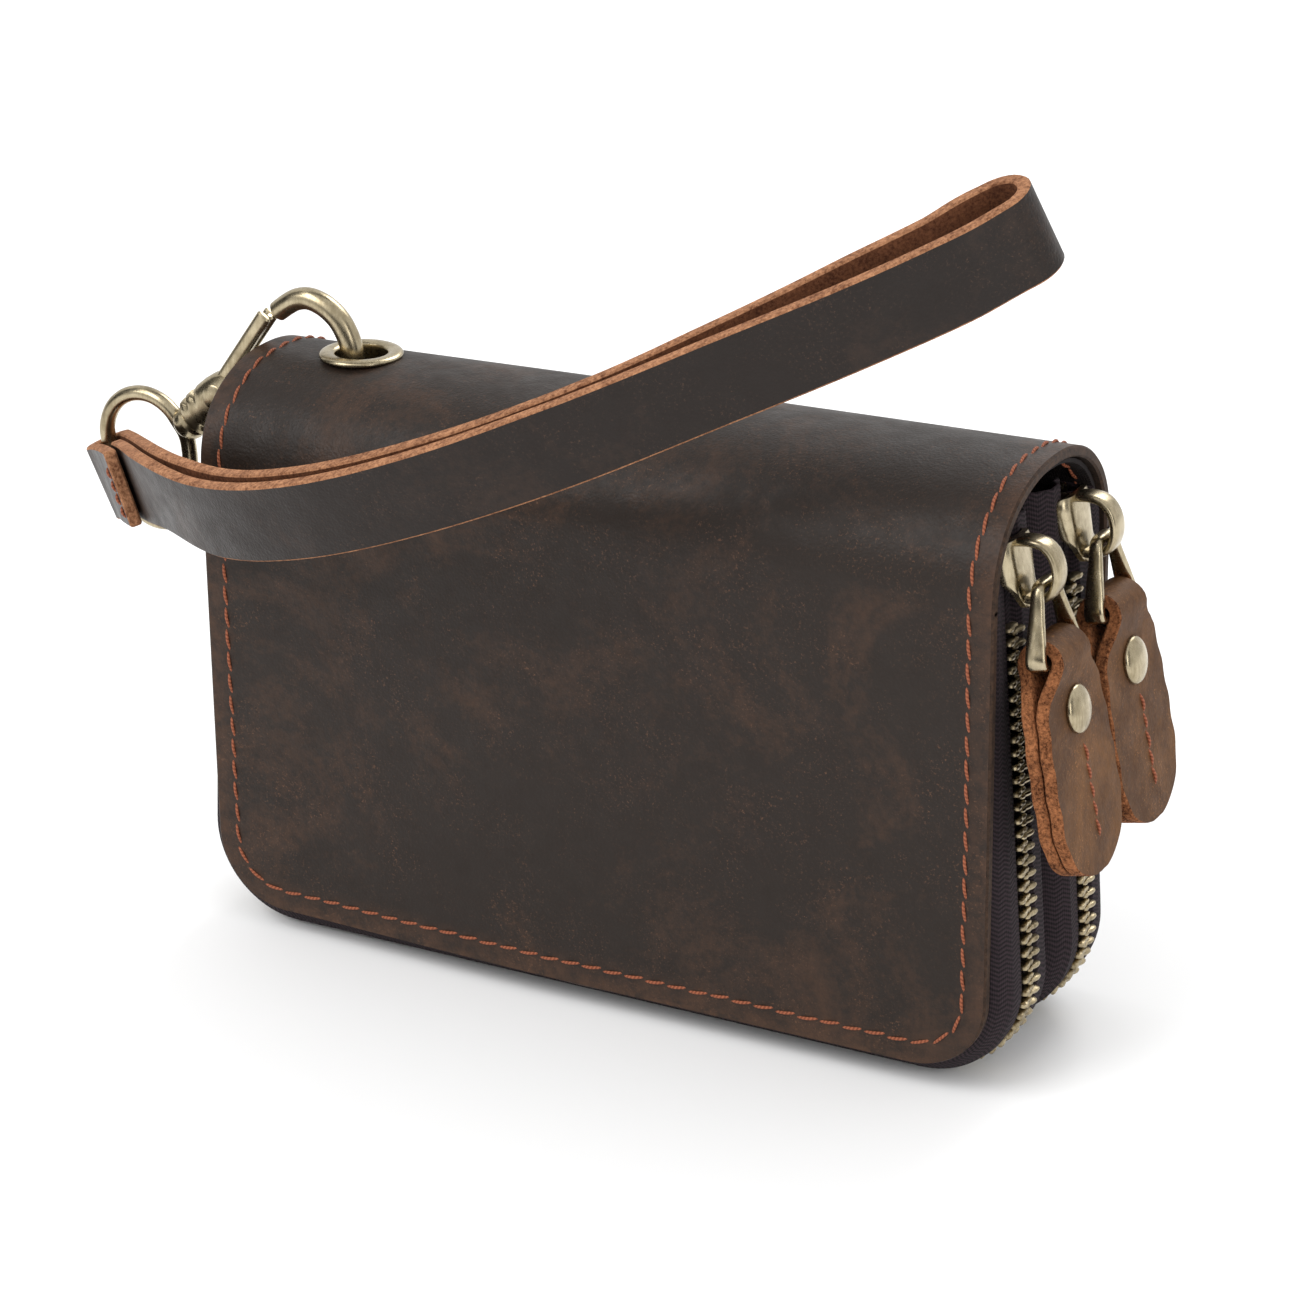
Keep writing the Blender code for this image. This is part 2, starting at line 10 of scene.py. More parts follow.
import bpy
import numpy as np
from mathutils import Matrix, Vector

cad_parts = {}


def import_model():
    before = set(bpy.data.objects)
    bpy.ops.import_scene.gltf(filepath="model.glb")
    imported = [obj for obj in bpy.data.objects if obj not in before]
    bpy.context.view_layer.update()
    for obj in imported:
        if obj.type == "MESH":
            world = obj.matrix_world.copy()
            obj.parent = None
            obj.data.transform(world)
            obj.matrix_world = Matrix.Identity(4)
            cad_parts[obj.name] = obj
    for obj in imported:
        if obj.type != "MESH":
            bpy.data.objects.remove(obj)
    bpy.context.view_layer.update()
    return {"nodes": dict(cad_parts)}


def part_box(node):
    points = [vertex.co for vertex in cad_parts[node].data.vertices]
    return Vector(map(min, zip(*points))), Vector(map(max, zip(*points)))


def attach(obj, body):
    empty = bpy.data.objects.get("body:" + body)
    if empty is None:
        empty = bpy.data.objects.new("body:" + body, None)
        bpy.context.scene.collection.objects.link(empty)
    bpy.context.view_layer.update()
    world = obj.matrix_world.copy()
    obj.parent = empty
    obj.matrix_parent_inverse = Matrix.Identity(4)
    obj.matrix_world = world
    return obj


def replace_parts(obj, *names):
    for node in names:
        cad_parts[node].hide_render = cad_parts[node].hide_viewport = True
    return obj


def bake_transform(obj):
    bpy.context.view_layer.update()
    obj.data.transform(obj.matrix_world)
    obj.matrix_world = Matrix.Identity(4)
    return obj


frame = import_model()

# %% [markdown]
# ## One frame in millimetres
# It is easier to think in millimetres about the pouch's own middle plane. The helpers
# below measure the CAD pieces once, and `world` turns pouch millimetres into metres.

# %% Measure the CAD pieces
MM = 0.001
SHARP = math.radians(35.0)
Y_AXIS = np.array([0.0, 1.0, 0.0])


def span(node):
    """Lowest and highest corner of a CAD node, in millimetres of the world frame."""
    lo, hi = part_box(node)
    return np.array(lo) / MM, np.array(hi) / MM


PANEL_LO, PANEL_HI = span("front_panel")
MID_Y = (PANEL_LO[1] + span("back_panel")[1][1]) / 2
SHIFT = np.array([0.0, MID_Y, 0.0])
HALF_W = PANEL_HI[0]
HALF_T = MID_Y - PANEL_LO[1]
PANEL_Z = PANEL_LO[2]
HINGE_Z = PANEL_HI[2] + 0.2
PANEL_R, ARCH_Z, ARCH_POWER = 14.0, 91.0, 2.2
CREST_MID, CREST_SLOPE = 110.4, 0.01625
EYELET_X = float(sum(v[0] for v in span("eyelet")) / 2)
print("middle plane", MID_Y, "half width", HALF_W, "half thickness", HALF_T)


def world(points):
    """world = MM * (point + SHIFT)."""
    return (np.asarray(points, float) + SHIFT) * MM


def unit(v):
    """v / |v| along the last axis."""
    v = np.asarray(v, float)
    return v / np.maximum(np.linalg.norm(v, axis=-1, keepdims=True), 1e-12)


def square_to(v, along):
    """unit(v - along (v . along)): v turned square to a unit direction, row by row."""
    return unit(v - along * np.sum(v * along, 1, keepdims=True))


def travelled(path):
    """Distance along a polyline at each of its points, from 0."""
    step = np.linalg.norm(np.diff(path, axis=0), axis=1)
    return np.concatenate([[0], np.cumsum(step)])


def upright(xz, y=0.0):
    """(x, y, z) from rows of (x, z)."""
    return np.stack([xz[:, 0], 0 * xz[:, 0] + y, xz[:, 1]], -1)


def ease(t):
    """t^2 (3 - 2t) on t clipped to 0..1: a smooth step."""
    t = np.clip(t, 0, 1)
    return t * t * (3 - 2 * t)


# %% [markdown]
# ## Surfaces from grids
# A surface with two parameters is a table of points: rows along it, columns round it.
# Joining each point to its neighbours gives quads. A closed body also needs its ends
# covered, which a ladder of quads across the last ring does.

# %% Quads of a grid and of its ends
def ring_quads(rows, ring, closed):
    """Quads of a (rows, ring) grid closed round the ring, and along the rows if asked."""
    i, k = np.meshgrid(np.arange(rows if closed else rows - 1), np.arange(ring),
                       indexing="ij")
    j, m = (i + 1) % rows, (k + 1) % ring
    quads = np.stack([i * ring + k, i * ring + m, j * ring + m, j * ring + k], -1)
    corner = np.stack([np.stack([i, k], -1), np.stack([i, k + 1], -1),
                       np.stack([i + 1, k + 1], -1), np.stack([i + 1, k], -1)], -2)
    return quads.reshape(-1, 4), corner.reshape(-1, 4, 2)


def ladder(ring, base, flip):
    """Quads (i, i+1, R-2-i, R-1-i) that cover a ring of an even number of points."""
    i = np.arange(ring // 2 - 1)
    quads = np.stack([i, i + 1, ring - 2 - i, ring - 1 - i], -1) + base
    return quads[:, ::-1] if flip else quads


# %% Loft rings into a closed body
def loft(rings, closed=False):
    """Closed body through rings (n, r, 3); uv is (length along, length round) in mm."""
    rings = np.asarray(rings, float)
    rows, ring = rings.shape[:2]
    quads, corner = ring_quads(rows, ring, closed)
    middle, wide = rings.mean(1), rings[rows // 2]
    along = travelled(np.vstack([middle, middle[:1]]))
    round_ = travelled(np.vstack([wide, wide[:1]]))
    uv = np.stack([along[corner[..., 0]], round_[corner[..., 1]]], -1)
    if not closed:
        ends = [ladder(ring, 0, True), ladder(ring, (rows - 1) * ring, False)]
        flat = np.zeros((len(ends[0]) * 2, 4, 2))
        quads = np.vstack([quads, *ends])
        uv = np.vstack([uv, flat])
    return rings.reshape(-1, 3), quads, uv


def merge(*bodies):
    """One vertex table and one face table from several bodies."""
    verts, quads, uv = zip(*bodies)
    base = np.cumsum([0] + [len(v) for v in verts])
    quads = [outward(v, q) + b for v, q, b in zip(verts, quads, base)]
    return np.vstack(verts), np.vstack(quads), np.vstack(uv)


def outward(verts, quads):
    """Turn every face over when the enclosed volume sum(a . (b x c)) / 6 is negative."""
    a, b, c, d = (verts[quads[:, i]] for i in range(4))
    volume = (np.einsum("ij,ij->i", a, np.cross(b, c))
              + np.einsum("ij,ij->i", a, np.cross(c, d))).sum()
    return quads[:, ::-1] if volume < 0 else quads


# %% Rest positions
def store_rest(mesh):
    """Keep each vertex's place at rest as an attribute that the finishes read."""
    at = np.zeros(len(mesh.vertices) * 3, np.float32)
    mesh.vertices.foreach_get("co", at)
    rest = mesh.attributes.get("rest")
    if rest is None:
        rest = mesh.attributes.new("rest", "FLOAT_VECTOR", "POINT")
    rest.data.foreach_set("vector", at)


def link(obj):
    """Put an object into the scene and hand it back."""
    bpy.context.scene.collection.objects.link(obj)
    return obj


# %% Make one object from a body
def piece(name, body, looks, slots=None):
    """Make the object: mesh, uv map, rest positions, materials and smooth shading."""
    verts, quads, uv = body
    faces = outward(verts, quads)
    if faces is not quads:
        uv = uv[:, ::-1]
    mesh = bpy.data.meshes.new(name)
    mesh.from_pydata(world(verts).tolist(), [], faces.tolist())
    layer = mesh.uv_layers.new(name="UVMap")
    layer.data.foreach_set("uv", np.ascontiguousarray(uv, float).ravel())
    store_rest(mesh)
    looks = looks if isinstance(looks, (list, tuple)) else [looks]
    for mat in looks:
        mesh.materials.append(mat)
    if slots is not None:
        mesh.polygons.foreach_set("material_index", np.asarray(slots, np.int32))
    mesh.shade_smooth()
    mesh.set_sharp_from_angle(angle=SHARP)
    print(f"{name}: {len(verts)} vertices, {len(faces)} faces")
    return link(bpy.data.objects.new(name, mesh))


# %% [markdown]
# ## Wires, turned parts and hides
# Three makers cover the whole pouch. `sweep` pushes an oval along a path, `turned` spins
# a profile about an axis, and `hide` gives a grid a thickness with soft cut edges.

# %% Smooth path
def smooth_path(points, count, closed=False):
    """Catmull-Rom: 0.5 (2b + (c-a)t + (2a-5b+4c-d)t^2 + (3b-a-3c+d)t^3), count points."""
    p = np.asarray(points, float)
    if closed:
        p = np.concatenate([p[-1:], p, p[:2]])
    else:
        p = np.concatenate([[2 * p[0] - p[1]], p, [2 * p[-1] - p[-2]]])
    value = np.linspace(0, len(p) - 3, count, endpoint=not closed)
    i = np.minimum(value.astype(int), len(p) - 4)
    t = (value - i)[:, None]
    a, b, c, d = p[i], p[i + 1], p[i + 2], p[i + 3]
    return 0.5 * (2 * b + (c - a) * t + (2 * a - 5 * b + 4 * c - d) * t ** 2
                  + (3 * b - a - 3 * c + d) * t ** 3)


# %% Sweep an oval along a path
def oval(sides, power=2.0):
    """(sgn(cos) |cos|^(2/p), sgn(sin) |sin|^(2/p)): a circle at p = 2, squarer above."""
    a = (np.arange(sides) + 0.5) * 2 * math.pi / sides
    c, s = np.cos(a), np.sin(a)
    return np.stack([np.sign(c) * np.abs(c) ** (2 / power),
                     np.sign(s) * np.abs(s) ** (2 / power)], -1)


def sweep(points, side, across, deep, power=2.0, sides=16, closed=False, cap=0.5):
    """ring = p + side * across * cos + (tangent x side) * deep * sin, with round ends."""
    points = np.asarray(points, float)
    n = len(points)
    across, deep = np.broadcast_to(across, n) * 1.0, np.broadcast_to(deep, n) * 1.0
    if closed:
        tangent = unit(np.roll(points, -1, 0) - np.roll(points, 1, 0))
    else:
        tangent = unit(np.gradient(points, axis=0))
    side = np.broadcast_to(unit(side), points.shape)
    side = square_to(side, tangent)
    if not closed and cap:
        r = min(across[0], deep[0]) * cap
        q = min(across[-1], deep[-1]) * cap
        points = np.vstack([points[:1] - tangent[:1] * r, points,
                            points[-1:] + tangent[-1:] * q])
        tangent = np.vstack([tangent[:1], tangent, tangent[-1:]])
        side = np.vstack([side[:1], side, side[-1:]])
        across = np.concatenate([[across[0] - r], across, [across[-1] - q]])
        deep = np.concatenate([[deep[0] - r], deep, [deep[-1] - q]])
    other = np.cross(tangent, side)
    shape = oval(sides, power)
    rings = (points[:, None] + side[:, None] * (across[:, None] * shape[:, 0])[..., None]
             + other[:, None] * (deep[:, None] * shape[:, 1])[..., None])
    return loft(rings, closed)


# %% Spin a profile about an axis
def turned(profile, centre, direction, sides=48, ring=False):
    """ring(h) = centre + h d + r (cos a e1 + sin a e2) for each (r, h) of the profile."""
    d = unit(direction)
    e1 = unit(np.cross(d, (0.31, 0.52, 0.79)))
    e2 = np.cross(d, e1)
    a = np.arange(sides) * 2 * math.pi / sides
    spoke = np.cos(a)[:, None] * e1 + np.sin(a)[:, None] * e2
    profile = np.asarray(profile, float)
    rings = (np.asarray(centre, float) + spoke[None] * profile[:, 0, None, None]
             + d * profile[:, 1, None, None])
    return loft(rings, ring)


# %% Give a grid a thickness
def hide(mid, thick, away=None, bulge=0.4):
    """Leather sheet: mid +/- normal * thick/2, its four edges bulged outwards a little.

    Slot 0 is the side that faces away from `away`, slot 2 the other, slot 1 the edges.
    """
    mid = np.asarray(mid, float)
    along = np.gradient(mid, axis=0)
    across = np.gradient(mid, axis=1)
    normal = unit(np.cross(along, across))
    if away is not None and np.sum(normal * (mid - np.asarray(away))) < 0:
        normal = -normal
    along, across = unit(along), unit(across)
    b = bulge
    rows = np.concatenate([mid[:1] - along[:1] * b, mid, mid[-1:] + along[-1:] * b])
    normal = np.concatenate([normal[:1], normal, normal[-1:]])
    across = np.concatenate([across[:1], across, across[-1:]])
    h = np.full((len(rows), 1, 1), thick / 2)
    h[0] = h[-1] = thick / 2 - b
    top, low = rows + normal * h, (rows - normal * h)[:, ::-1]
    out, into = rows[:, -1:] + across[:, -1:] * b, rows[:, :1] - across[:, :1] * b
    nr, nl, e = normal[:, -1:], normal[:, :1], h - b * 0.9
    ring = np.concatenate([top, out + nr * e, out - nr * e, low, into - nl * e,
                           into + nl * e], axis=1)
    verts, quads, uv = loft(ring)
    m, count = mid.shape[1], ring.shape[1]
    slot_of = np.ones(count, int)
    slot_of[:m - 1] = 0
    slot_of[m + 2:2 * m + 1] = 2
    body = np.tile(slot_of, (len(rows) - 1, 1))
    body[0] = body[-1] = 1
    caps = []
    j = np.arange(m - 1)
    for base in (0, (len(rows) - 1) * count):
        strip = np.stack([j, j + 1, 2 * m - j, 2 * m + 1 - j], -1)
        ends = np.array([[m - 1, m, m + 1, m + 2], [2 * m + 1, 2 * m + 2, 2 * m + 3, 0]])
        both = np.vstack([strip, ends]) + base
        caps.append(both[:, ::-1] if base == 0 else both)
    quads = np.vstack([quads[:body.size], *caps])
    uv = np.vstack([uv[:body.size], np.zeros((len(quads) - body.size, 4, 2))])
    slots = np.concatenate([body.ravel(), np.ones(len(quads) - body.size, int)])
    return (verts, quads, uv), slots


# %% Copies along a line
def scatter(template, origins, axes):
    """Copies of one small body: origin + x e1 + y e2 + z e3 for every frame at once."""
    verts, quads, uv = template
    quads = outward(verts, quads)
    every = origins[:, None] + np.einsum("vk,nkc->nvc", verts, axes)
    offset = (np.arange(len(origins)) * len(verts))[:, None, None]
    return (every.reshape(-1, 3), (quads[None] + offset).reshape(-1, 4),
            np.tile(uv, (len(origins), 1, 1)))


def by_length(path, pitch, *others):
    """Points every `pitch` along a polyline, with the other columns interpolated."""
    s = travelled(path)
    at = np.arange(pitch / 2, s[-1], pitch)
    pick = [np.stack([np.interp(at, s, c[:, k]) for k in range(c.shape[1])], -1)
            for c in (path, *others)]
    return pick, s[-1]


# %% [markdown]
# ## Finishes
# Each finish is a small graph of shader nodes. `Look` keeps the graph readable: it makes
# a node, sets its sockets and hands back the output. Patterns read the stored rest
# positions or the uv map in millimetres, so they stay put when a piece bends.

# %% Shader helper
class Look:
    """A Principled material and the nodes that feed it."""

    def __init__(self, name, rough, metal=0.0, where="rest", shine=0.5):
        self.mat = bpy.data.materials.new(name)
        self.mat.use_nodes = True
        self.tree = self.mat.node_tree
        self.out = self.tree.nodes["Principled BSDF"]
        for key, value in (("Roughness", rough), ("Metallic", metal),
                           ("Specular IOR Level", shine)):
            self.out.inputs[key].default_value = value
        if where == "rest":
            self.at = self.node("Attribute", "Vector", {}, attribute_name="rest")
        else:
            self.at = self.node("TexCoord", "Object", {})

    def node(self, kind, out, sockets, **settings):
        """Add a node with these sockets and settings; returns its output `out`."""
        made = self.tree.nodes.new("ShaderNode" + kind)
        for key, value in settings.items():
            setattr(made, key, value)
        for key, value in sockets.items():
            self.put(made.inputs[key], value)
        return made.outputs[out]

    def put(self, socket, value):
        """Link another node's output to a socket, or set a plain value."""
        if isinstance(value, bpy.types.NodeSocket):
            self.tree.links.new(value, socket)
        else:
            socket.default_value = value

    def noise(self, size, detail=4.0, rough=0.6, at=None, warp=0.0):
        """Cloudy noise with features about `size` millimetres across."""
        return self.node("TexNoise", "Fac",
                         {"Vector": at or self.at, "Scale": 1 / (size * MM),
                          "Detail": detail, "Roughness": rough, "Distortion": warp})

    def cells(self, size):
        """Distance to the nearest of many points `size` millimetres apart: pores."""
        return self.node("TexVoronoi", "Distance",
                         {"Vector": self.at, "Scale": 1 / (size * MM)})

    def fit(self, value, a, b, lo=0.0, hi=1.0):
        """lo + (hi - lo) (value - a) / (b - a), kept between lo and hi."""
        return self.node("MapRange", 0, {0: value, 1: a, 2: b, 3: lo, 4: hi})

    def calc(self, op, a, b=0.0):
        """a op b."""
        return self.node("Math", 0, {0: a, 1: b}, operation=op)

    def times(self, a, b):
        """a b."""
        return self.calc("MULTIPLY", a, b)

    def plus(self, a, b):
        """a + b."""
        return self.calc("ADD", a, b)

    def mix(self, fac, a, b):
        """Colour (1 - fac) a + fac b."""
        a = (*a, 1.0) if isinstance(a, tuple) else a
        b = (*b, 1.0) if isinstance(b, tuple) else b
        return self.node("Mix", 2, {0: fac, 6: a, 7: b}, data_type="RGBA")

    def stretch(self, x, y, z):
        """The pattern's position, scaled along each axis."""
        return self.node("VectorMath", 0, {0: self.at, 1: (x, y, z)},
                         operation="MULTIPLY")

    def split(self, vector):
        """The x, y and z of a vector."""
        made = self.tree.nodes.new("ShaderNodeSeparateXYZ")
        self.put(made.inputs[0], vector)
        return made.outputs[0], made.outputs[1], made.outputs[2]

    def uv(self):
        """Millimetres along the piece and round it."""
        return self.split(self.node("UVMap", 0, {}, uv_map="UVMap"))[:2]

    def bump(self, height, depth):
        """Tilt the surface by a height pattern `depth` millimetres deep."""
        last = self.out.inputs["Normal"].links
        sockets = {"Height": height, "Distance": depth * MM, "Strength": 1.0}
        if last:
            sockets["Normal"] = last[0].from_socket
        made = self.node("Bump", 0, sockets)
        self.tree.links.new(made, self.out.inputs["Normal"])

    def colour(self, value):
        """Set or link the base colour."""
        self.put(self.out.inputs["Base Color"], value)

    def roughness(self, value):
        """Set or link the roughness."""
        self.put(self.out.inputs["Roughness"], value)


# %% [markdown]
# ### Leather, suede, cloth, thread and antique brass
# Waxed leather is dark with a warm undertone that shows where it was rubbed. Cut edges
# and the flesh side are paler and fuzzy. The zip's cloth is a herringbone weave.

# %% Leather
def leather(name, dark, warm, share=0.5, rough=0.5, worn=False):
    """Two tones mixed by broad and fine noise, pores, creases, pale scuffs, worn edges."""
    m = Look(name, rough, shine=0.26)
    broad = m.noise(30.0, 6.0, 0.66, warp=0.8)
    fine = m.noise(1.6, 6.0, 0.75)
    patch = m.plus(m.times(broad, 0.68), m.times(fine, 0.32))
    tone = m.fit(patch, 0.60 - share * 0.25, 0.84 - share * 0.25)
    base = m.mix(tone, dark, warm)
    pale = tuple(min(1, 2.4 * c) for c in warm)
    if worn:
        x, _, z = m.split(m.at)
        reach = m.calc("MAXIMUM", m.fit(m.calc("ABSOLUTE", x), 0.0745, 0.0808),
                       m.fit(z, 0.0115, 0.0042))
        rub = m.times(reach, m.fit(m.noise(3.0, 5.0, 0.7), 0.38, 0.62, 0.15, 0.95))
        base = m.mix(rub, base, warm)
    speck = m.fit(m.noise(0.5, 3.0, 0.75), 0.57, 0.74)
    gate = m.fit(m.noise(9.0, 4.0, 0.6), 0.42, 0.62, 0.1, 1.0)
    scuff = m.times(m.times(speck, gate), 0.75)
    m.colour(m.mix(scuff, base, pale))
    m.roughness(m.fit(m.noise(5.0, 4.0, 0.65), 0.3, 0.7, rough - 0.06, rough + 0.1))
    m.bump(m.cells(0.55), 0.04)
    m.bump(m.noise(1.1, 4.0, 0.65), 0.08)
    m.bump(m.noise(14.0, 3.0, 0.5), 0.4)
    return m.mat


# %% Suede and cut edges
def fuzz(name, dark, pale, rough=0.85, size=0.42, depth=0.16):
    """Suede or a cut edge: short fibres from two noises, dark in the gaps."""
    m = Look(name, rough, shine=0.15)
    grain = m.noise(size, 5.0, 0.75)
    broad = m.noise(3.5, 4.0, 0.6)
    tone = m.fit(m.plus(m.times(grain, 0.7), m.times(broad, 0.3)), 0.38, 0.62)
    m.colour(m.mix(tone, dark, pale))
    m.bump(grain, depth)
    return m.mat


def cloth(name, dark, pale):
    """Plain weave: product of two fine waves, with uneven dye."""
    m = Look(name, 0.86, where="object", shine=0.2)
    sockets = {"Vector": m.at, "Scale": 620.0, "Distortion": 0.4, "Detail": 1.0}
    waves = [m.node("TexWave", "Fac", sockets, bands_direction=axis)
             for axis in ("X", "Z")]
    weave = m.times(*waves)
    m.colour(m.mix(m.fit(m.plus(weave, m.noise(6.0)), 0.4, 1.3), dark, pale))
    m.bump(weave, 0.12)
    return m.mat


# %% Zip tape and thread
def herringbone(name, dark, pale):
    """Ribs sin(k (u + s v)) whose slope s flips from one band of v to the next."""
    m = Look(name, 0.88, shine=0.3)
    u, v = m.uv()
    band = m.calc("DIVIDE", v, 1.7)
    half = m.calc("FRACT", m.times(m.calc("FLOOR", band), 0.5))
    slope = m.calc("SUBTRACT", m.times(half, 4.0), 1.0)
    inside = m.calc("SUBTRACT", m.calc("FRACT", band), 0.5)
    phase = m.plus(m.times(u, 7.4), m.times(m.times(slope, inside), 5.2))
    ribs = m.calc("SINE", phase)
    cross = m.calc("SINE", m.times(v, 14.8))
    yarn = m.plus(m.times(ribs, 0.32), m.times(cross, 0.13))
    yarn = m.plus(yarn, m.times(m.noise(0.5, 3.0), 0.6))
    m.colour(m.mix(m.fit(yarn, -0.05, 0.75), dark, pale))
    m.bump(yarn, 0.16)
    return m.mat


def thread(name, dark, pale):
    """Two plies: stripes at a slant to the thread, from uv, with a little fluff."""
    m = Look(name, 0.6, shine=0.2)
    u, v = m.uv()
    slant = m.plus(m.times(u, 8.5), m.times(v, 4.0))
    ply = m.calc("SINE", slant)
    m.colour(m.mix(m.fit(m.plus(ply, m.noise(1.4)), -0.8, 1.6), dark, pale))
    m.bump(ply, 0.04)
    return m.mat


# %% Metal
def metal(name, deep, bright, rough=0.3, where="rest"):
    """Antique brass: tarnish in patches, fine brushing and a few dull spots."""
    m = Look(name, rough, 1.0, where)
    patch = m.noise(3.4, 5.0, 0.62)
    brush = m.noise(0.5, 3.0, 0.6, at=m.stretch(1.0, 1.0, 0.12))
    tone = m.plus(m.times(patch, 0.6), m.times(brush, 0.4))
    m.colour(m.mix(m.fit(tone, 0.34, 0.6), deep, bright))
    m.roughness(m.fit(patch, 0.35, 0.7, rough + 0.08, rough - 0.04))
    m.bump(brush, 0.006)
    return m.mat


# %% All finishes of the pouch
HIDE = leather("wrap_leather", (0.0158, 0.0100, 0.0071), (0.062, 0.0295, 0.0155),
               0.38, 0.48, True)
HIDE_EDGE = fuzz("wrap_cut_edge", (0.014, 0.008, 0.0055), (0.058, 0.031, 0.018),
                 0.6, 1.1, 0.05)
HIDE_BACK = fuzz("wrap_flesh_side", (0.012, 0.008, 0.006), (0.036, 0.021, 0.014))
STRAP = leather("strap_leather", (0.0128, 0.0080, 0.0060), (0.038, 0.0205, 0.0128),
                0.34, 0.42)
STRAP_EDGE = fuzz("strap_cut_edge", (0.11, 0.040, 0.018), (0.46, 0.225, 0.115),
                  0.9, 0.7, 0.2)
STRAP_BACK = fuzz("strap_flesh_side", (0.060, 0.021, 0.010), (0.19, 0.074, 0.034),
                  0.9, 0.6, 0.2)
TAB = leather("tab_leather", (0.064, 0.0265, 0.0085), (0.165, 0.073, 0.0235), 0.62, 0.66)
TAB_EDGE = fuzz("tab_cut_edge", (0.040, 0.011, 0.0035), (0.40, 0.155, 0.062),
                0.95, 0.6, 0.5)
LINING = cloth("lining_cloth", (0.010, 0.0075, 0.0075), (0.028, 0.021, 0.020))
TAPE = herringbone("zip_tape", (0.0055, 0.0032, 0.0042), (0.033, 0.020, 0.025))
THREAD = thread("orange_thread", (0.15, 0.04, 0.019), (0.33, 0.105, 0.05))
BRASS = metal("antique_brass", (0.27, 0.22, 0.135), (0.47, 0.40, 0.27), 0.24)
TEETH = metal("brass_teeth", (0.15, 0.115, 0.065), (0.46, 0.38, 0.24), 0.3)
BRASS_CAD = metal("antique_brass_small", (0.25, 0.205, 0.125), (0.53, 0.46, 0.32), 0.3,
                  "object")
print("materials", len(bpy.data.materials))

# %% [markdown]
# ## The leather wrap
# One hide goes up the front, over the top and down the back. The arch is a superellipse,
# which stays straight longer than a circle. The left end is a little flatter than the
# right.

# %% Wrap shape
def half_t(x):
    """Half thickness over the leather: HALF_T less 2.2 mm towards the left end."""
    return HALF_T - 2.2 * ease((-np.asarray(x, float) - 5) / 75)


def crest(x):
    """Height of the top: CREST_MID + CREST_SLOPE x."""
    return CREST_MID + CREST_SLOPE * np.asarray(x, float)


def ripple(x, z):
    """Slow waves of hand-worked leather, zero near the edges that meet other pieces."""
    fade = ease((z - 12) / 20) * ease((86 - z) / 20) * ease((76 - np.abs(x)) / 16)
    return fade * (0.25 * np.sin(x / 19 + z / 31) + 0.18 * np.sin(x / 47 - z / 17 + 1))


def side_width(z):
    """Half width of a panel at height z: HALF_W, less the round corners below."""
    drop = np.clip(PANEL_Z + PANEL_R - z, 0, PANEL_R)
    return HALF_W - PANEL_R + np.sqrt(np.maximum(PANEL_R ** 2 - drop ** 2, 0))


def arch(x, turn, depth):
    """(x, y, z) on the arch: y = h sgn(c)|c|^(2/p), z = ARCH_Z + rise |s|^(2/p)."""
    c, s = np.cos(turn), np.sin(turn)
    y = -(half_t(x) - depth) * np.sign(c) * np.abs(c) ** (2 / ARCH_POWER)
    z = ARCH_Z + (crest(x) - depth - ARCH_Z) * np.abs(s) ** (2 / ARCH_POWER)
    return np.stack([x + 0 * turn, y, z], -1)


def fold_at(obj):
    """Bake obj's placement into its mesh."""
    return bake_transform(obj)


# %% Covers and arch
WRAP_T, HOLE_R, INSIDE = 2.0, 5.95, (0, 0, 50)


def make_wrap():
    """Two covers and the arch, with the punched hole for the eyelet."""
    low = PANEL_Z + PANEL_R * (1 - np.cos(np.linspace(0, math.pi / 2, 15)))
    z = np.concatenate([low, np.linspace(PANEL_Z + PANEL_R, ARCH_Z, 46)[1:]])
    s = np.linspace(-1, 1, 61)
    zz, ss = np.meshgrid(z, s, indexing="ij")
    x = ss * side_width(zz)
    for side, sign in (("front", -1), ("back", 1)):
        y = sign * (half_t(x) - WRAP_T / 2 + ripple(x, zz))
        body, slots = hide(np.stack([x, y, zz], -1), WRAP_T, INSIDE)
        obj = piece(f"{side}_wrap", body, [HIDE, HIDE_EDGE, HIDE_BACK], slots)
        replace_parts(fold_at(obj), f"{side}_panel")
    turn = np.linspace(0, math.pi, 61)
    tt, xx = np.meshgrid(turn, s * HALF_W, indexing="ij")
    body, slots = hide(arch(xx, tt, WRAP_T / 2), WRAP_T, INSIDE)
    obj = piece("spine_wrap", body, [HIDE, HIDE_EDGE, HIDE_BACK], slots)
    seat = np.array([EYELET_X, 0.0, crest(EYELET_X)])
    punch(obj, turned([(HOLE_R, -9), (HOLE_R, 9)], seat, (0, 0, 1), 40))
    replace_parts(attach(obj, "pouch_core"), "spine_leather")


def punch(obj, body):
    """Cut a body out of obj with an exact boolean and keep the result."""
    tool = piece("punch_tool", body, HIDE_EDGE)
    mod = obj.modifiers.new("punch", "BOOLEAN")
    mod.object, mod.solver = tool, "EXACT"
    graph = bpy.context.evaluated_depsgraph_get()
    done = bpy.data.meshes.new_from_object(obj.evaluated_get(graph))
    obj.modifiers.clear()
    store_rest(done)
    obj.data = done
    bpy.data.objects.remove(tool, do_unlink=True)


make_wrap()

# %% [markdown]
# ## Stitching
# A stitch is a short thread that rises out of one hole and dives into the next. One
# template is copied along the seam line, each copy turned to follow it.

# %% Stitch template
STITCH_SLANT, STITCH_LIFT, STITCH_SUNK = 0.55, 0.42, 0.22


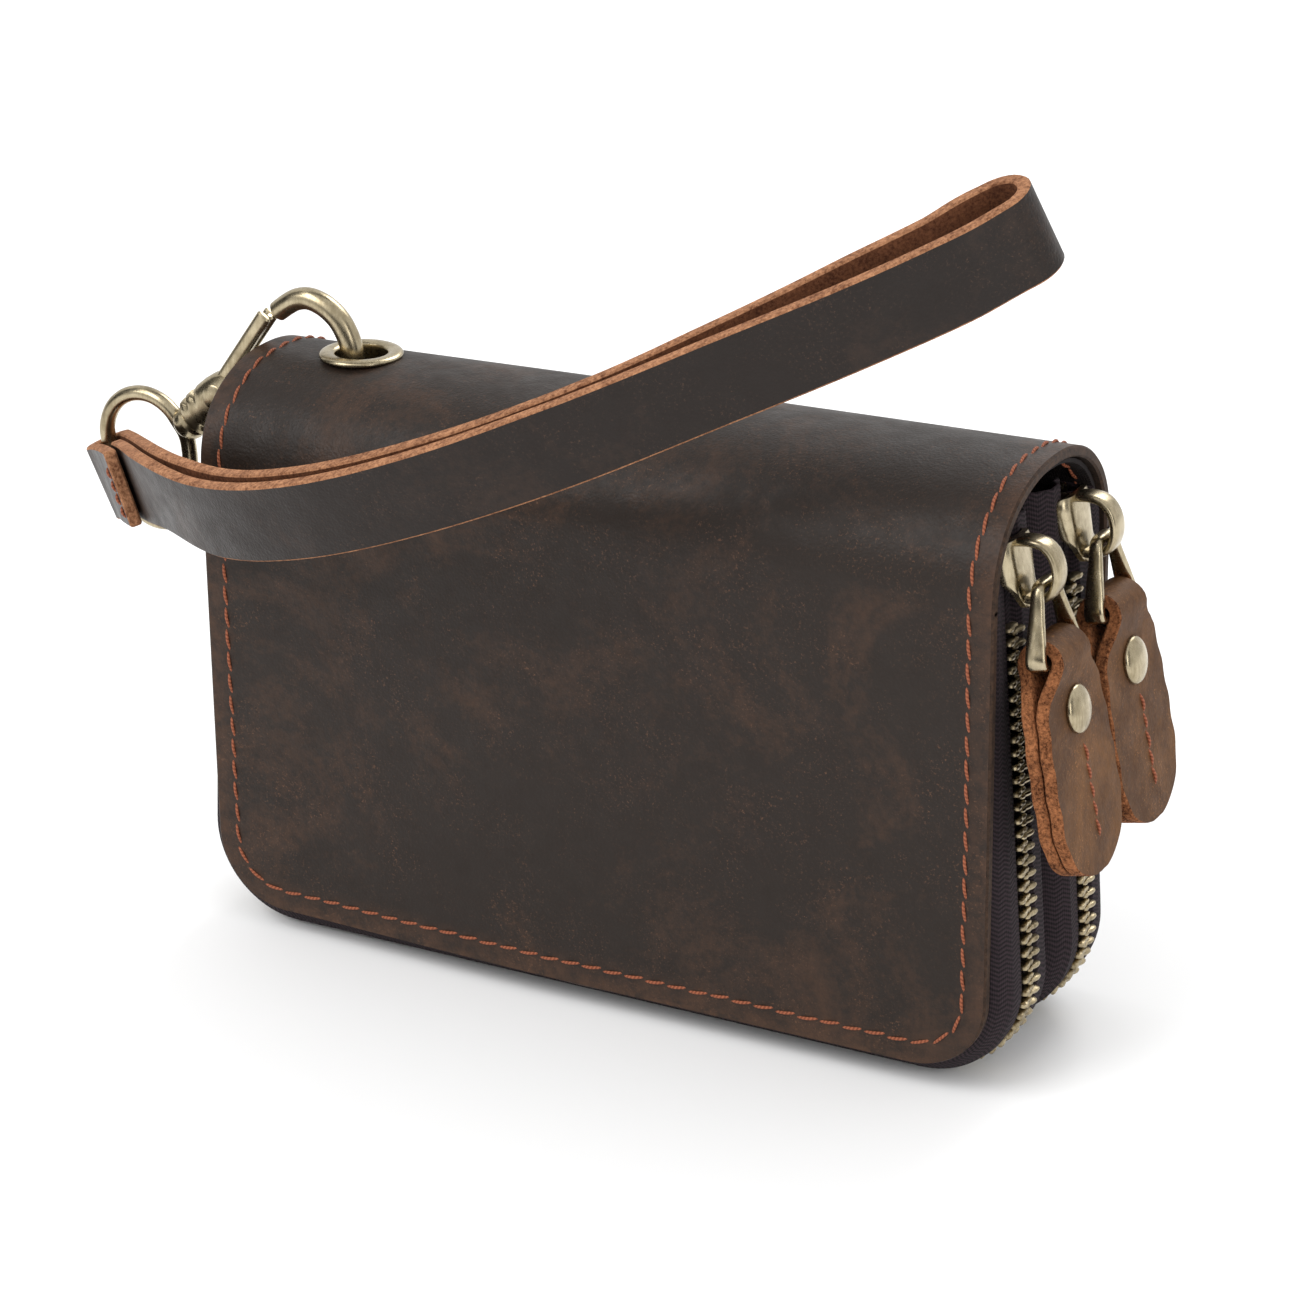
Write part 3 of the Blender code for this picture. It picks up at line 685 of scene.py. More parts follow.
def stitch_template(length, radius):
    """A bowed thread: height = lift sin(pi t), with a slight slant across the seam."""
    t = np.linspace(0, 1, 9)
    bow = np.sin(math.pi * t)
    path = np.stack([(t - 0.5) * length, STITCH_SLANT * (t - 0.5),
                     STITCH_LIFT * bow - STITCH_SUNK], -1)
    r = radius * (0.6 + 0.4 * bow ** 0.5)
    return sweep(path, (0, 1, 0), r, r, 2.0, 8)


# %% One seam
def seam(name, path, normal, body, side=None, pitch=4.4, length=4.1, radius=0.29):
    """Copies of the stitch every `pitch` along a path that lies on the leather."""
    (at, up, way), total = by_length(path, pitch, normal, np.gradient(path, axis=0))
    e1 = unit(way)
    e3 = square_to(up, e1)
    axes = np.stack([e1, np.cross(e3, e1), e3], 1)
    rng = np.random.default_rng(len(name))
    jig = e3 * rng.normal(0, 0.03, (len(at), 1))
    jig = jig + axes[:, 1] * rng.normal(0, 0.07, (len(at), 1))
    obj = piece(name, scatter(stitch_template(length, radius), at + jig, axes), THREAD)
    if side:
        fold_at(obj)
    else:
        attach(obj, body)
    print(name, "seam", round(total, 1), "mm,", len(at), "stitches")
    return obj


# %% All seams of the wrap
SEAM_INSET = 4.0
LINED_T = 3.2


def make_seams():
    """Seams 4 mm inside the covers' edges, and over both ends of the arch."""
    r = PANEL_R - SEAM_INSET
    a = np.linspace(math.pi, 1.5 * math.pi, 13)
    left = np.stack([-(HALF_W - PANEL_R) + r * np.cos(a),
                     PANEL_Z + PANEL_R + r * np.sin(a)], -1)
    up = np.linspace(ARCH_Z, PANEL_Z + PANEL_R, 40)[:, None]
    left = np.vstack([np.hstack([0 * up - HALF_W + SEAM_INSET, up]), left])
    flat = np.linspace(left[-1, 0], -left[-1, 0], 40)[1:-1, None]
    floor = np.hstack([flat, 0 * flat + left[-1, 1]])
    line = np.vstack([left, floor, left[::-1] * (-1, 1)])
    for side, sign in (("front", -1), ("back", 1)):
        path = upright(line, sign * half_t(line[:, 0]))
        seam(f"{side}_seam", path, np.tile((0.0, sign, 0.0), (len(path), 1)), None, side)
    turn = np.linspace(0.0, math.pi, 60)
    for end, sign in (("left", -1), ("right", 1)):
        x = np.full(len(turn), sign * (HALF_W - SEAM_INSET))
        outer = arch(x, turn, 0.0)
        normal = unit(outer - arch(x, turn, WRAP_T))
        seam(f"{end}_arch_seam", outer, normal, "pouch_core")
        inner = arch(x, turn, LINED_T)
        seam(f"{end}_arch_inner_seam", inner, -normal, "pouch_core")


make_seams()

# %% [markdown]
# ## Zips
# Both zips follow the same route: down one end, round a corner, along the table and up
# again. The tape is a ribbon between the panel's edge and the teeth. Each tooth is one
# small rounded body, and the two rows are half a pitch apart so that they interlock.

# %% Zip route
ZIP_Y, ZIP_R, ZIP_TILT, ZIP_SIDE_X = 12.5, 18.4, math.radians(4.0), 84.15
TOOTH_PITCH = 2.5


def zip_route(top):
    """Stations along one zip: crest point, outward, panel edge, outward, all (x, z)."""
    share = np.linspace(0, 1, 25)
    a = -math.pi / 2 + (math.pi / 2 + ZIP_TILT) * share
    b = -math.pi / 2 + math.pi / 2 * share
    n = np.stack([np.cos(a), np.sin(a)], -1)
    m = np.stack([np.cos(b), np.sin(b)], -1)
    p = np.array([ZIP_SIDE_X - ZIP_R * math.cos(ZIP_TILT), ZIP_R]) + ZIP_R * n
    e = np.array([HALF_W - PANEL_R, PANEL_Z + PANEL_R]) + PANEL_R * m
    z = np.linspace(p[-1, 1], top, 33)[1:]
    x = p[-1, 0] - (z - p[-1, 1]) * math.tan(ZIP_TILT)
    p = np.vstack([p, np.stack([x, z], -1)])
    e = np.vstack([e, np.stack([np.full(len(z), HALF_W), z], -1)])
    n = np.vstack([n, np.tile(n[-1], (len(z), 1))])
    m = np.vstack([m, np.tile((1.0, 0.0), (len(z), 1))])
    floor = np.linspace(-1, 1, 42)[1:-1, None]
    down = np.tile((0.0, -1.0), (len(floor), 1))
    flat = [np.hstack([floor * p[0, 0], 0 * floor + p[0, 1]]), down,
            np.hstack([floor * e[0, 0], 0 * floor + e[0, 1]]), down]
    flip = np.array([-1.0, 1.0])
    return [np.vstack([r[::-1] * flip, f, r]) for r, f in zip((p, n, e, m), flat)]


# %% Tape ribbon
def ribbon(columns, sign, top):
    """Grid with one column per (share on the panel, outward offset, y, bulge)."""
    p, n, e, m = zip_route(top)
    cols = []
    for share, off, y, bulge in columns:
        base = p * (1 - share) + e * share
        way = unit(n * (1 - share) + m * share)
        at = base + way * (off + bulge)
        # the tape narrows with the flatter left end and tucks in under the arch
        slim = 1 - share * (1 - half_t(at[:, 0]) / HALF_T)
        rise = np.clip((at[:, 1] - ARCH_Z) / (CREST_MID - 3.6 - ARCH_Z), 0, 1)
        slim = slim * (1 - share + share * (1 - rise ** ARCH_POWER) ** (1 / ARCH_POWER))
        cols.append(upright(at, sign * y * slim))
    return np.stack(cols, 1)


# %% One tooth and a row of them
def tooth_template():
    """Rounded bar across the chain: low in the middle, high over the tape."""
    y = np.array([-0.95, -0.75, -0.1, 0.7, 1.4, 2.1, 2.8, 3.05, 3.15])
    half = np.array([0.24, 0.42, 0.53, 0.52, 0.56, 0.58, 0.54, 0.42, 0.22])
    high = np.array([-0.75, -0.45, -0.25, -0.42, -0.12, 0.0, -0.06, -0.35, -0.8])
    low = np.array([-1.5, -1.8, -2.0, -2.1, -2.3, -2.3, -2.2, -1.9, -1.5])
    shape = oval(10, 2.8)
    rise = (high + low)[:, None] / 2 + shape[None, :, 1] * (high - low)[:, None] / 2
    wide = shape[None, :, 0] * half[:, None]
    return loft(np.stack([wide, np.tile(y[:, None], (1, len(shape))), rise], -1))


def teeth(name, sign, away, top, phase):
    """One row of teeth along the route, `away` +1 on the cover's side."""
    p, n, _, _ = zip_route(top)
    path, out = upright(p, sign * ZIP_Y), upright(n)
    s = travelled(path)
    count = int(s[-1] / TOOTH_PITCH) - 1
    at_s = s[-1] / 2 + (np.arange(count) - count // 2 + phase) * TOOTH_PITCH
    at_s = at_s[(at_s > 0.6) & (at_s < s[-1] - 0.6)]
    at = np.stack([np.interp(at_s, s, path[:, k]) for k in range(3)], -1)
    up = unit(np.stack([np.interp(at_s, s, out[:, k]) for k in range(3)], -1))
    across = np.tile((0.0, sign * away, 0.0), (len(at), 1))
    axes = np.stack([np.cross(across, up), across, up], 1)
    return piece(name, scatter(tooth_template(), at, axes), TEETH)


# %% Both zips
TAPE_T, TAPE_BULGE = 0.8, 0.25
OUTER_TOP, INNER_TOP = 99.5, 103.0
OUTER = ((0.0, -2.8, 12.85, 0.0), (0.0, -2.75, 14.8, 0.0), (0.0, -1.3, 16.1, 0.0),
         (0.0, -1.2, 17.7, 0.0), (0.15, -1.1, 19.4, 0.3), (0.55, -1.0, 21.0, 0.45),
         (1.0, -0.8, 22.3, 0.0), (1.0, -8.0, 22.3, 0.0))
INNER = ((0.0, -2.8, 12.15, 0.0), (0.0, -2.75, 10.2, 0.0), (0.0, -1.3, 8.9, 0.0),
         (0.0, -1.2, 5.9, 0.0), (0.0, -2.6, 4.0, 0.0), (0.0, -4.6, 2.5, 0.0),
         (0.0, -8.0, 1.5, 0.0), (0.0, -14.0, 1.5, 0.0))


def make_zips():
    """Tapes and rows of both zips."""
    row_top = span("front_inner_teeth")[1][2]
    for side, sign in (("front", -1), ("back", 1)):
        body, _ = hide(ribbon(OUTER, sign, OUTER_TOP), TAPE_T, None, TAPE_BULGE)
        obj = piece(f"{side}_outer_tape_cloth", body, TAPE)
        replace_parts(fold_at(obj), f"{side}_outer_tape")
        body, _ = hide(ribbon(INNER, sign, INNER_TOP), TAPE_T, None, TAPE_BULGE)
        obj = piece(f"{side}_inner_tape_cloth", body, TAPE)
        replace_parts(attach(obj, "pouch_core"), f"{side}_inner_tape")
        obj = teeth(f"{side}_inner_row", sign, -1, row_top, 0.0)
        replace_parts(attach(obj, "pouch_core"), f"{side}_inner_teeth")
        obj = teeth(f"{side}_outer_row", sign, 1, row_top, 0.5)
        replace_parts(fold_at(obj), f"{side}_outer_teeth")


make_zips()

# %% [markdown]
# ## Sliders, rings and pull tabs
# A slider is two shield-shaped plates with folded lips and a cast bridge. The pull ring
# hangs in the bridge and holds a folded leather tab, closed by a rivet.

# %% Slider geometry
SLIDER_Z, PIVOT_N, PIVOT_T = 95.0, 5.2, -1.8
BAR, TAB_LEAN, RIVET_Q = (86.2, 80.5), math.radians(11.5), 9.5


def slider_axes(sign):
    """Centre on the teeth's crest, with the outward and upward directions."""
    x = ZIP_SIDE_X - (SLIDER_Z - ZIP_R - ZIP_R * math.sin(ZIP_TILT)) * math.tan(ZIP_TILT)
    out = np.array([math.cos(ZIP_TILT), 0.0, math.sin(ZIP_TILT)])
    up = np.array([-math.sin(ZIP_TILT), 0.0, math.cos(ZIP_TILT)])
    return np.array([x, sign * ZIP_Y, SLIDER_Z]), out, up


def plate(centre, out, up, near, far, lip):
    """Shield: half width over height t, lofted from n = near to n = far, lips bent in."""
    t = np.array([-6.7, -6.4, -5.2, -3.4, -1.4, 1.0, 3.4, 4.9, 5.6, 5.8])
    half = np.array([0.8, 1.4, 2.6, 3.9, 4.8, 5.3, 5.6, 5.6, 5.2, 4.6])
    v = np.linspace(-1, 1, 21)
    bend = np.abs(v) ** 7
    fold = lip * ease((half - 4.2) / 0.8)[:, None] * bend * math.copysign(1, far - near)
    top = far - 0.35 * v ** 2 - fold
    low = near - 0.15 * v ** 2 - fold
    ring_v = np.concatenate([v, v[::-1]])
    ring_n = np.concatenate([top, low[:, ::-1]], axis=1)
    rings = (centre + up * t[:, None, None] + Y_AXIS * (half[:, None] * ring_v)[..., None]
             + out * ring_n[..., None])
    return loft(rings)


# %% Slider
def make_slider(side, sign):
    """Plates, the web between them, and the bridge."""
    centre, out, up = slider_axes(sign)
    t = np.array([[2.4], [5.4]])
    web = sweep(centre + up * t + out * -0.9, Y_AXIS, 0.35, 1.6, 4.0, 8)
    lean = math.radians(7.0)
    tip_up = up * math.cos(lean) - out * math.sin(lean)
    tip_out = out * math.cos(lean) + up * math.sin(lean)
    body = merge(plate(centre, tip_out, tip_up, 0.6, 1.9, 1.5),
                 plate(centre, out, up, -3.5, -4.4, 0.0), web)
    obj = piece(f"{side}_slider_plates", body, BRASS)
    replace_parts(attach(obj, f"{side}_slider"), f"{side}_slider_body")
    route = smooth_path([(1.2, 5.3), (3.4, 5.4), (5.6, 4.9), (7.2, 3.2), (7.9, 0.8),
                         (7.7, -1.6), (6.6, -3.6), (4.6, -4.7), (2.6, -4.8), (1.2, -4.4)],
                        44)
    points = centre + route[:, :1] * out + route[:, 1:] * up
    bridge = sweep(points, Y_AXIS, 2.25, 0.82, 3.0, 20)
    obj = piece(f"{side}_slider_crown", bridge, BRASS)
    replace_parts(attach(obj, f"{side}_slider"), f"{side}_slider_bridge")


# %% Pull ring
def make_pull(side, sign):
    """Flat-stamped ring: narrow at the bridge, wide and deep at the leather."""
    centre, out, up = slider_axes(sign)
    pivot = centre + out * PIVOT_N + up * PIVOT_T
    bar = np.array([BAR[0], sign * ZIP_Y, BAR[1]])
    down, length = unit(bar - pivot), float(np.linalg.norm(bar - pivot))
    half = np.array([(0.0, 0.0), (1.6, 0.0), (2.9, 0.35), (3.6, 1.4), (4.3, 3.6),
                     (5.4, 6.5), (6.5, 9.6), (7.15, length - 1.8), (7.1, length - 0.6),
                     (6.3, length), (3.0, length), (0.0, length)])
    loop = np.vstack([half, half[-2:0:-1] * (-1, 1)])
    loop = smooth_path(loop, 120, True)
    points = pivot + loop[:, 1:] * down + loop[:, :1] * Y_AXIS
    deep = 1.15 + 0.75 * ease(loop[:, 1] / length)
    flat = np.cross(down, Y_AXIS)
    obj = piece(f"{side}_ring", sweep(points, flat, deep, 0.78, 3.0, 14, True), BRASS)
    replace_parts(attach(obj, f"{side}_pull"), f"{side}_pull_ring")
    make_tab(side, bar)


# %% Leather tab
TAB_T, TAB_END, ROUND_Q, TAB_HALF, TAB_FOLD = 2.3, 38.8, 27, 12.0, 3.2


def tab_width(q):
    """Half width of the tab q below the bar: waisted at the fold, round at the end."""
    body = np.interp(q, [-4, -1.5, 0.5, 2.0, 3.5, 5.5, 8, 13.5, 20, 27],
                     [4.8, 5.1, 5.6, 6.6, 8.6, 10.1, 10.9, 11.6, 12, 12])
    past = np.maximum(q - ROUND_Q, 0) / TAB_HALF
    end = TAB_HALF * np.sqrt(np.maximum(1 - past ** 2.2, 0.002))
    return np.where(q > ROUND_Q, end, body)


def make_tab(side, bar):
    """Leather folded over the bar, the seam line and the rivet's cap."""
    down = np.array([math.sin(TAB_LEAN), 0.0, -math.cos(TAB_LEAN)])
    out = np.array([math.cos(TAB_LEAN), 0.0, math.sin(TAB_LEAN)])
    q = TAB_END - TAB_END * np.linspace(0, 1, 46) ** 1.5
    gap = np.interp(q, [0, 2.5, 5, 8, 40], [TAB_FOLD, 2.4, 1.6, 1.32, 1.3])
    a = np.linspace(0, math.pi, 15)[1:-1]
    route_q = np.concatenate([q, -TAB_FOLD * np.sin(a), q[::-1]])
    route_m = np.concatenate([gap, TAB_FOLD * np.cos(a), -gap[::-1]])
    s = np.linspace(-1, 1, 21)
    w = tab_width(route_q)[:, None] * s
    edge = 0.22 * np.sin(route_q[:, None] * 0.9 + 2 * s) * np.abs(s) ** 8
    mid = (bar + down * route_q[:, None, None] + out * route_m[:, None, None]
           + Y_AXIS * (w + edge)[..., None])
    body, slots = hide(mid, TAB_T, bar + down * 14, 0.35)
    obj = piece(f"{side}_tab_leather", body, [TAB, TAB_EDGE, TAB_EDGE], slots)
    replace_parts(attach(obj, f"{side}_tab"), f"{side}_pull_tab")
    seat = bar + down * RIVET_Q
    r = np.linspace(0, 1, 12)
    dome = [(4.3 * c, 2.9 + 1.5 * h) for c, h in zip(np.cos(r * 1.42), np.sin(r * 1.42))]
    cap = turned([(3.9, 2.5), (4.25, 2.6), *dome], seat, out, 48)
    obj = piece(f"{side}_rivet_dome", cap, BRASS)
    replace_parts(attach(obj, f"{side}_tab"), f"{side}_rivet_cap")
    foot = [bar + down * v + out * 2.46 + Y_AXIS * 0.8 for v in (16.0, 24.0, 33.5)]
    path = smooth_path(foot, 20)
    obj = seam(f"{side}_tab_seam", path, np.tile(out, (20, 1)), f"{side}_tab", None,
               3.4, 3.5, 0.3)


for side, sign in (("front", -1), ("back", 1)):
    make_slider(side, sign)
    make_pull(side, sign)

# %% [markdown]
# ## Eyelet and clasp
# The eyelet is a turned ring. The clasp's hook is a bent wire that grows out of a slotted
# base, and the swivel ring's post turns in that base.

# %% Measures and eyelet
PIN = np.array([-90.5, 0.0, 97.5])
COLLAR = np.array([-96.0, 0.0, 92.6])
RING_C, RING_R = np.array([-108.8, 0.0, 85.8]), 9.0
NECK = unit(COLLAR - PIN)


def make_eyelet():
    """Rounded flange outside, barrel through the leather."""
    seat = np.array([EYELET_X, 0.0, crest(EYELET_X)])
    a = np.linspace(-0.5, math.pi, 13)
    lip = [(6.35 + 1.48 * math.cos(t), 0.42 + 0.72 * math.sin(t)) for t in a]
    barrel = [(4.85, -0.2), (4.85, -5.2), (5.5, -5.2), (5.5, -0.1)]
    obj = piece("eyelet_ring", turned([*lip, *barrel], seat, (0, 0, 1), 72, True), BRASS)
    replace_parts(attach(obj, "pouch_core"), "eyelet")


# %% Clasp
WIRE_R = 2.0


def make_clasp():
    """Hook wire, base with two grooves, rivet heads, gate, and the swivel ring."""
    wire = smooth_path([(-76.9, 115.6), (-74.6, 117.3), (-72.4, 118.5), (-69.6, 118.9),
                        (-66.4, 117.9), (-63.5, 115.7), (-61.6, 112.6), (-60.8, 109.5),
                        (-60.9, 106.0), (-61.8, 103.2), (-64.7, 100.9), (-69.5, 99.3),
                        (-77.5, 96.6), (-83.5, 94.2), (-88.0, 93.9)], 90)
    thick = WIRE_R + 0.2 * np.sin(np.linspace(0, math.pi, len(wire)))
    hook = sweep(upright(wire), Y_AXIS, thick, thick, 2.0, 20, False, 0.25)
    a = np.array([-4.2, -3.6, -2.0, 0.4, 2.8, 3.8, 4.2, 4.7, 5.2, 6.2, 6.6, 7.0, 7.5,
                  8.4, 8.8])
    r = np.array([2.0, 2.9, 3.8, 4.2, 4.3, 4.1, 3.2, 3.2, 4.3, 4.3, 3.2, 3.2, 4.1,
                  4.0, 3.2])
    base = sweep(PIN + NECK * a[:, None], Y_AXIS, np.minimum(r, 3.0), r, 2.7, 32)
    heads = [turned([(1.6, 0), (2.5, 0), (2.45, 0.2), (2.1, 0.42), (0.6, 0.5)],
                    PIN + Y_AXIS * 2.85 * s, Y_AXIS * s, 28) for s in (-1, 1)]
    obj = piece("clasp_body", merge(hook, base, *heads), BRASS)
    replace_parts(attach(obj, "clasp"), "clasp_hook", "gate_pin")
    tip = np.array([-78.6, 0.0, 113.9])
    way = unit(tip - PIN)
    rise = np.array([-way[2], 0.0, way[0]])
    share = np.array([0.1, 0.2, 0.35, 0.6, 0.85, 0.97, 1.0])[:, None]
    reach = np.linalg.norm(tip - PIN)
    bars = [sweep(PIN + way * reach * share + rise * 0.95 + Y_AXIS * y, Y_AXIS, 0.72, 1.5,
                  2.4, 16) for y in (-1.2, 1.2)]
    web = sweep(PIN + way * reach * share + rise * 0.5, Y_AXIS, 0.9, 0.8, 3.0, 12)
    obj = piece("clasp_lever", merge(*bars, web), BRASS)
    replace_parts(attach(obj, "gate"), "clasp_gate")
    arc = np.radians(32.0 + 148.0 * np.arange(11) / 10)
    top = np.stack([RING_C[0] + RING_R * np.cos(arc), RING_C[2] + RING_R * np.sin(arc)], -1)
    low = np.array([(-117.2, 82.7), (-114.6, 77.5), (-112.2, 72.6), (-110.2, 70.3),
                    (-107.2, 69.2), (-103.7, 69.7), (-100.7, 72.6), (-99.2, 77.0),
                    (-98.7, 82.0), (-99.2, 87.4)])
    ring = smooth_path(np.vstack([top, low]), 120, True)
    post = turned([(1.15, -3.1), (1.15, 0.4), (2.7, 0.6), (3.3, 1.2), (3.45, 2.1),
                   (3.2, 3.0), (2.5, 3.8), (1.6, 4.3)], PIN + NECK * 8.6, NECK, 32)
    body = merge(sweep(upright(ring), Y_AXIS, 1.55, 1.5, 2.0, 18, True), post)
    obj = piece("swivel_eye", body, BRASS)
    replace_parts(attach(obj, "swivel"), "swivel_ring")


make_eyelet()
make_clasp()

# %% [markdown]
# ## The wrist strap
# The strap is one strip. It starts as a flap, folds round the ring, runs back along the
# loop, bends at the far end and returns. `strap_frames` gives the middle line of the outer
# layer with the direction of its width, and the other layers are offset from it.

# %% Strap
FOLD_C = np.array([-114.6, 0.0, 77.5])
FOLD_DIR = np.array([-0.439, 0.0, 0.898])
STRAP_W, STRAP_T, BEND_R = 14.4, 2.4, 5.4
FLAP_LENGTH, FLAP_GAP, FOLD_R, FRONT_START = 25.5, 3.1, 3.5, 9.0
ROUTE = np.array([
    (-88.6, -26.8, 86.9, 0.33), (-63.2, -44.2, 91.0, 0.29), (-39.4, -52.4, 97.4, 0.31),
    (-15.2, -53.0, 106.1, 0.26), (10.8, -47.9, 117.3, 0.15), (36.9, -38.4, 129.9, 0.14),
    (56.1, -30.6, 139.3, 0.14), (70.9, -22.4, 147.0, 0.08), (79.5, -15.3, 152.4, 0.05)])


def strap_frames(count):
    """line(t), width(t) = up without its tangent part, leaned by the route's angle."""
    knots = smooth_path(np.vstack([np.append(FOLD_C, 0.0), ROUTE]), count)
    line, lean = knots[:, :3], knots[:, 3:4]
    tangent = unit(np.gradient(line, axis=0))
    up = np.array([0.0, 0.0, 1.0])
    width = unit(up - tangent * (tangent @ up)[:, None])
    face = np.cross(tangent, width)
    width = width * np.cos(lean) + face * np.sin(lean)
    share = np.clip(1 - np.arange(count)[:, None] / (count * 0.11), 0, 1)
    width = width * (1 - share) + FOLD_DIR * share
    width = square_to(width, tangent)
    return line, width, np.cross(tangent, width), tangent


# %% Both layers of the strap
def make_strap():
    """Flap, fold, back layer, bend and front layer as one grid with a thickness."""
    n = 181
    line, width, face, tangent = strap_frames(n)
    travel = travelled(line)
    spread = np.interp(line[:, 0], [-112, -104, -82, -68, -40, 0, 25, 45, 60, 70, 77],
                       [3.5, 3.1, 3.1, 4.3, 4.4, 3.7, 4.2, 7.4, 9.8, 10.8, 2 * BEND_R])
    kernel = np.ones(9) / 9
    spread = np.convolve(np.pad(spread, 4, mode="edge"), kernel, "valid")
    keep = travel > 1.0
    ends = travel > FRONT_START
    hold = keep & (travel < FLAP_LENGTH)
    back = (line - face * spread[:, None])[keep]
    front = line[ends][::-1]
    flap = (line + face * FLAP_GAP)[hold][::-1]
    a = np.linspace(math.pi / 2, -math.pi / 2, 13)[:, None]
    turn = line[0] + FOLD_R * (face[0] * np.sin(a) - tangent[0] * np.cos(a))
    b = np.linspace(-math.pi / 2, math.pi / 2, 17)[1:-1, None]
    bend = (line[-1] - face[-1] * BEND_R
            + BEND_R * (face[-1] * np.sin(b) + tangent[-1] * np.cos(b)))
    route = np.vstack([flap, turn, back, bend, front])
    wide = np.vstack([width[hold][::-1], np.tile(width[0], (len(a), 1)), width[keep],
                      np.tile(width[-1], (len(b), 1)), width[ends][::-1]])
    s = np.linspace(-1, 1, 11)[None, :, None] * STRAP_W / 2
    body, slots = hide(route[:, None] + wide[:, None] * s, STRAP_T, None, 0.35)
    obj = piece("strap_leather_loop", body, [STRAP_BACK, STRAP_EDGE, STRAP], slots)
    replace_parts(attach(obj, "strap"), "wrist_strap")
    i = int(np.argmin(np.abs(travel - 21.6)))
    path = line[i] + face[i] * 4.4 + width[i] * np.linspace(4.6, -4.6, 12)[:, None]
    obj = seam("strap_flap_seam", path, np.tile(face[i], (12, 1)), "strap", None,
               2.6, 2.3, 0.32)
    print("strap strip", len(route), "stations")


make_strap()

# %% [markdown]
# ## The carried CAD pieces
# Linings, divider, pockets and small fittings keep their CAD shape and only get a finish.

# %% Finish the carried pieces
def refinish(name, mat):
    """Give a carried piece one finish instead of its own."""
    data = frame["nodes"][name].data
    data.materials.clear()
    data.materials.append(mat)


for name in ("spine_lining", "front_lining", "back_lining", "divider", "card_pocket_back",
             "card_pocket_front", "slip_pocket"):
    refinish(name, LINING)
for name in ("eyelet_washer", "front_rivet_post", "back_rivet_post"):
    refinish(name, BRASS_CAD)

# %% [markdown]
# ## Floor, light and camera
# A pale sweep of floor, one large soft light high on the left, a fill on the right and
# a strip behind make a bright product picture. The camera uses a long lens.

# %% Floor and lights
AIM = np.array([0.0, 0.01, 0.06])
FLOOR_HALF, FLOOR_Z, WORLD_LIGHT = 6.0, -0.0002, 0.95
LIGHTS = (("key", (-0.55, -0.75, 0.95), 0.8, 9.0), ("fill", (1.1, -0.5, 0.5), 0.7, 4.0),
          ("rim", (0.1, 0.9, 0.9), 0.6, 6.0))


def look_along(direction):
    """Euler angles that point a light's or camera's -Z along a direction."""
    return Vector(direction).to_track_quat("-Z", "Y").to_euler()


def sheet(name, wide, tall, mat):
    """Flat rectangle with corners (+/- wide, +/- tall, 0), in metres."""
    mesh = bpy.data.meshes.new(name)
    mesh.from_pydata([(-wide, -tall, 0), (wide, -tall, 0), (wide, tall, 0),
                      (-wide, tall, 0)], [], [(0, 1, 2, 3)])
    mesh.materials.append(mat)
    return link(bpy.data.objects.new(name, mesh))


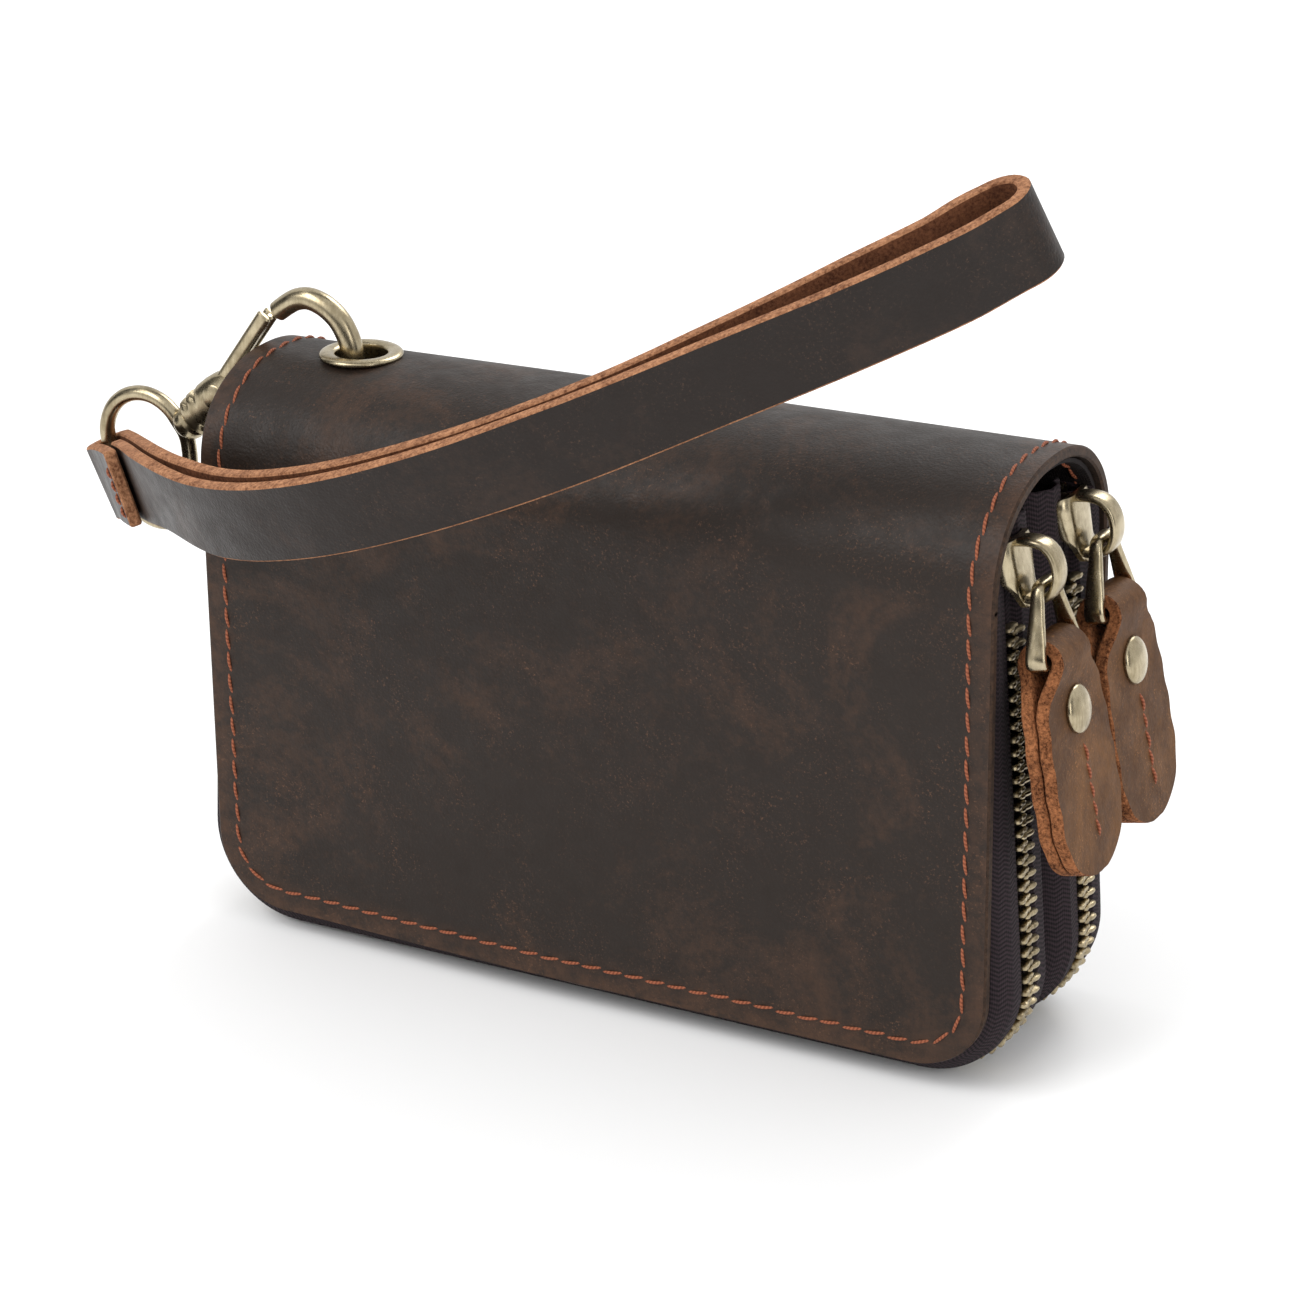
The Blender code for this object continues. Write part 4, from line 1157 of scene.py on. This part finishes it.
def make_stage():
    """Floor plane, world light and three area lights of (name, place, size, power)."""
    m = Look("floor_white", 0.7, where="object")
    m.colour(m.mix(m.fit(m.noise(400.0, 2.0), 0.3, 0.7), (0.86,) * 3, (0.9,) * 3))
    floor = sheet("floor", FLOOR_HALF, FLOOR_HALF, m.mat)
    floor.location = (0, 0, FLOOR_Z)
    studio = bpy.data.worlds.new("studio")
    studio.use_nodes = True
    ground = studio.node_tree.nodes["Background"]
    ground.inputs["Color"].default_value = (1.0, 1.0, 1.0, 1.0)
    ground.inputs["Strength"].default_value = WORLD_LIGHT
    bpy.context.scene.world = studio
    for name, spot, size, power in LIGHTS:
        data = bpy.data.lights.new(name, "AREA")
        data.shape, data.size, data.energy = "SQUARE", size, power
        obj = link(bpy.data.objects.new(name, data))
        obj.location = spot
        obj.rotation_euler = look_along(AIM - np.array(spot))
    print("stage: floor, world and", len(LIGHTS), "lights")


make_stage()

# %% Dark cards for the reflections
CARDS = ((-1.0, -0.35, 0.35, 0.35, 0.9), (1.15, -0.25, 0.3, 0.3, 0.8),
         (0.25, -1.3, 0.25, 0.8, 0.3), (-0.2, 0.2, 1.3, 0.5, 0.16))


def make_flags():
    """Cards (x, y, z, wide, tall) that only reflections see: metal gets dark edges."""
    m = Look("flag_black", 1.0, where="object")
    m.colour(m.mix(m.noise(300.0), (0.01,) * 3, (0.02,) * 3))
    for i, (x, y, z, wide, tall) in enumerate(CARDS):
        card = sheet(f"flag_{i}", wide, tall, m.mat)
        card.location = (x, y, z)
        card.rotation_euler = look_along(AIM - np.array([x, y, z]))
        card.visible_camera = card.visible_diffuse = card.visible_shadow = False
    print("dark cards", len(CARDS))


make_flags()

# %% [markdown]
# ## The camera
# The camera stands well back with a long lens, so the pouch's far end hardly shrinks.
# Its three axes are built from an azimuth, an elevation and a small roll.

# %% Camera
CAMERA_AT, CAMERA_TURN = (341.8, -617.5, 341.4), (28.876, 21.627, -0.663)
LENS, SENSOR = 115.15, 36.0


def make_camera():
    """Axes right, up and back = (sin az cos el, -cos az cos el, sin el), then rolled."""
    az, el, roll = (math.radians(v) for v in CAMERA_TURN)
    flat = math.cos(el)
    back = np.array([math.sin(az) * flat, -math.cos(az) * flat, math.sin(el)])
    right = np.array([math.cos(az), math.sin(az), 0.0])
    up = np.cross(back, right)
    c, s = math.cos(roll), math.sin(roll)
    axes = np.stack([right * c + up * s, up * c - right * s, back], 1)
    data = bpy.data.cameras.new("camera")
    data.lens, data.sensor_width = LENS, SENSOR
    cam = link(bpy.data.objects.new("camera", data))
    spot = world(CAMERA_AT)
    cam.matrix_world = Matrix(np.block([[axes, spot[:, None]], [0, 0, 0, 1]]).tolist())
    bpy.context.scene.camera = cam
    print("camera at", spot, "with a", LENS, "mm lens")


make_camera()
bpy.context.scene.view_settings.view_transform = "Standard"
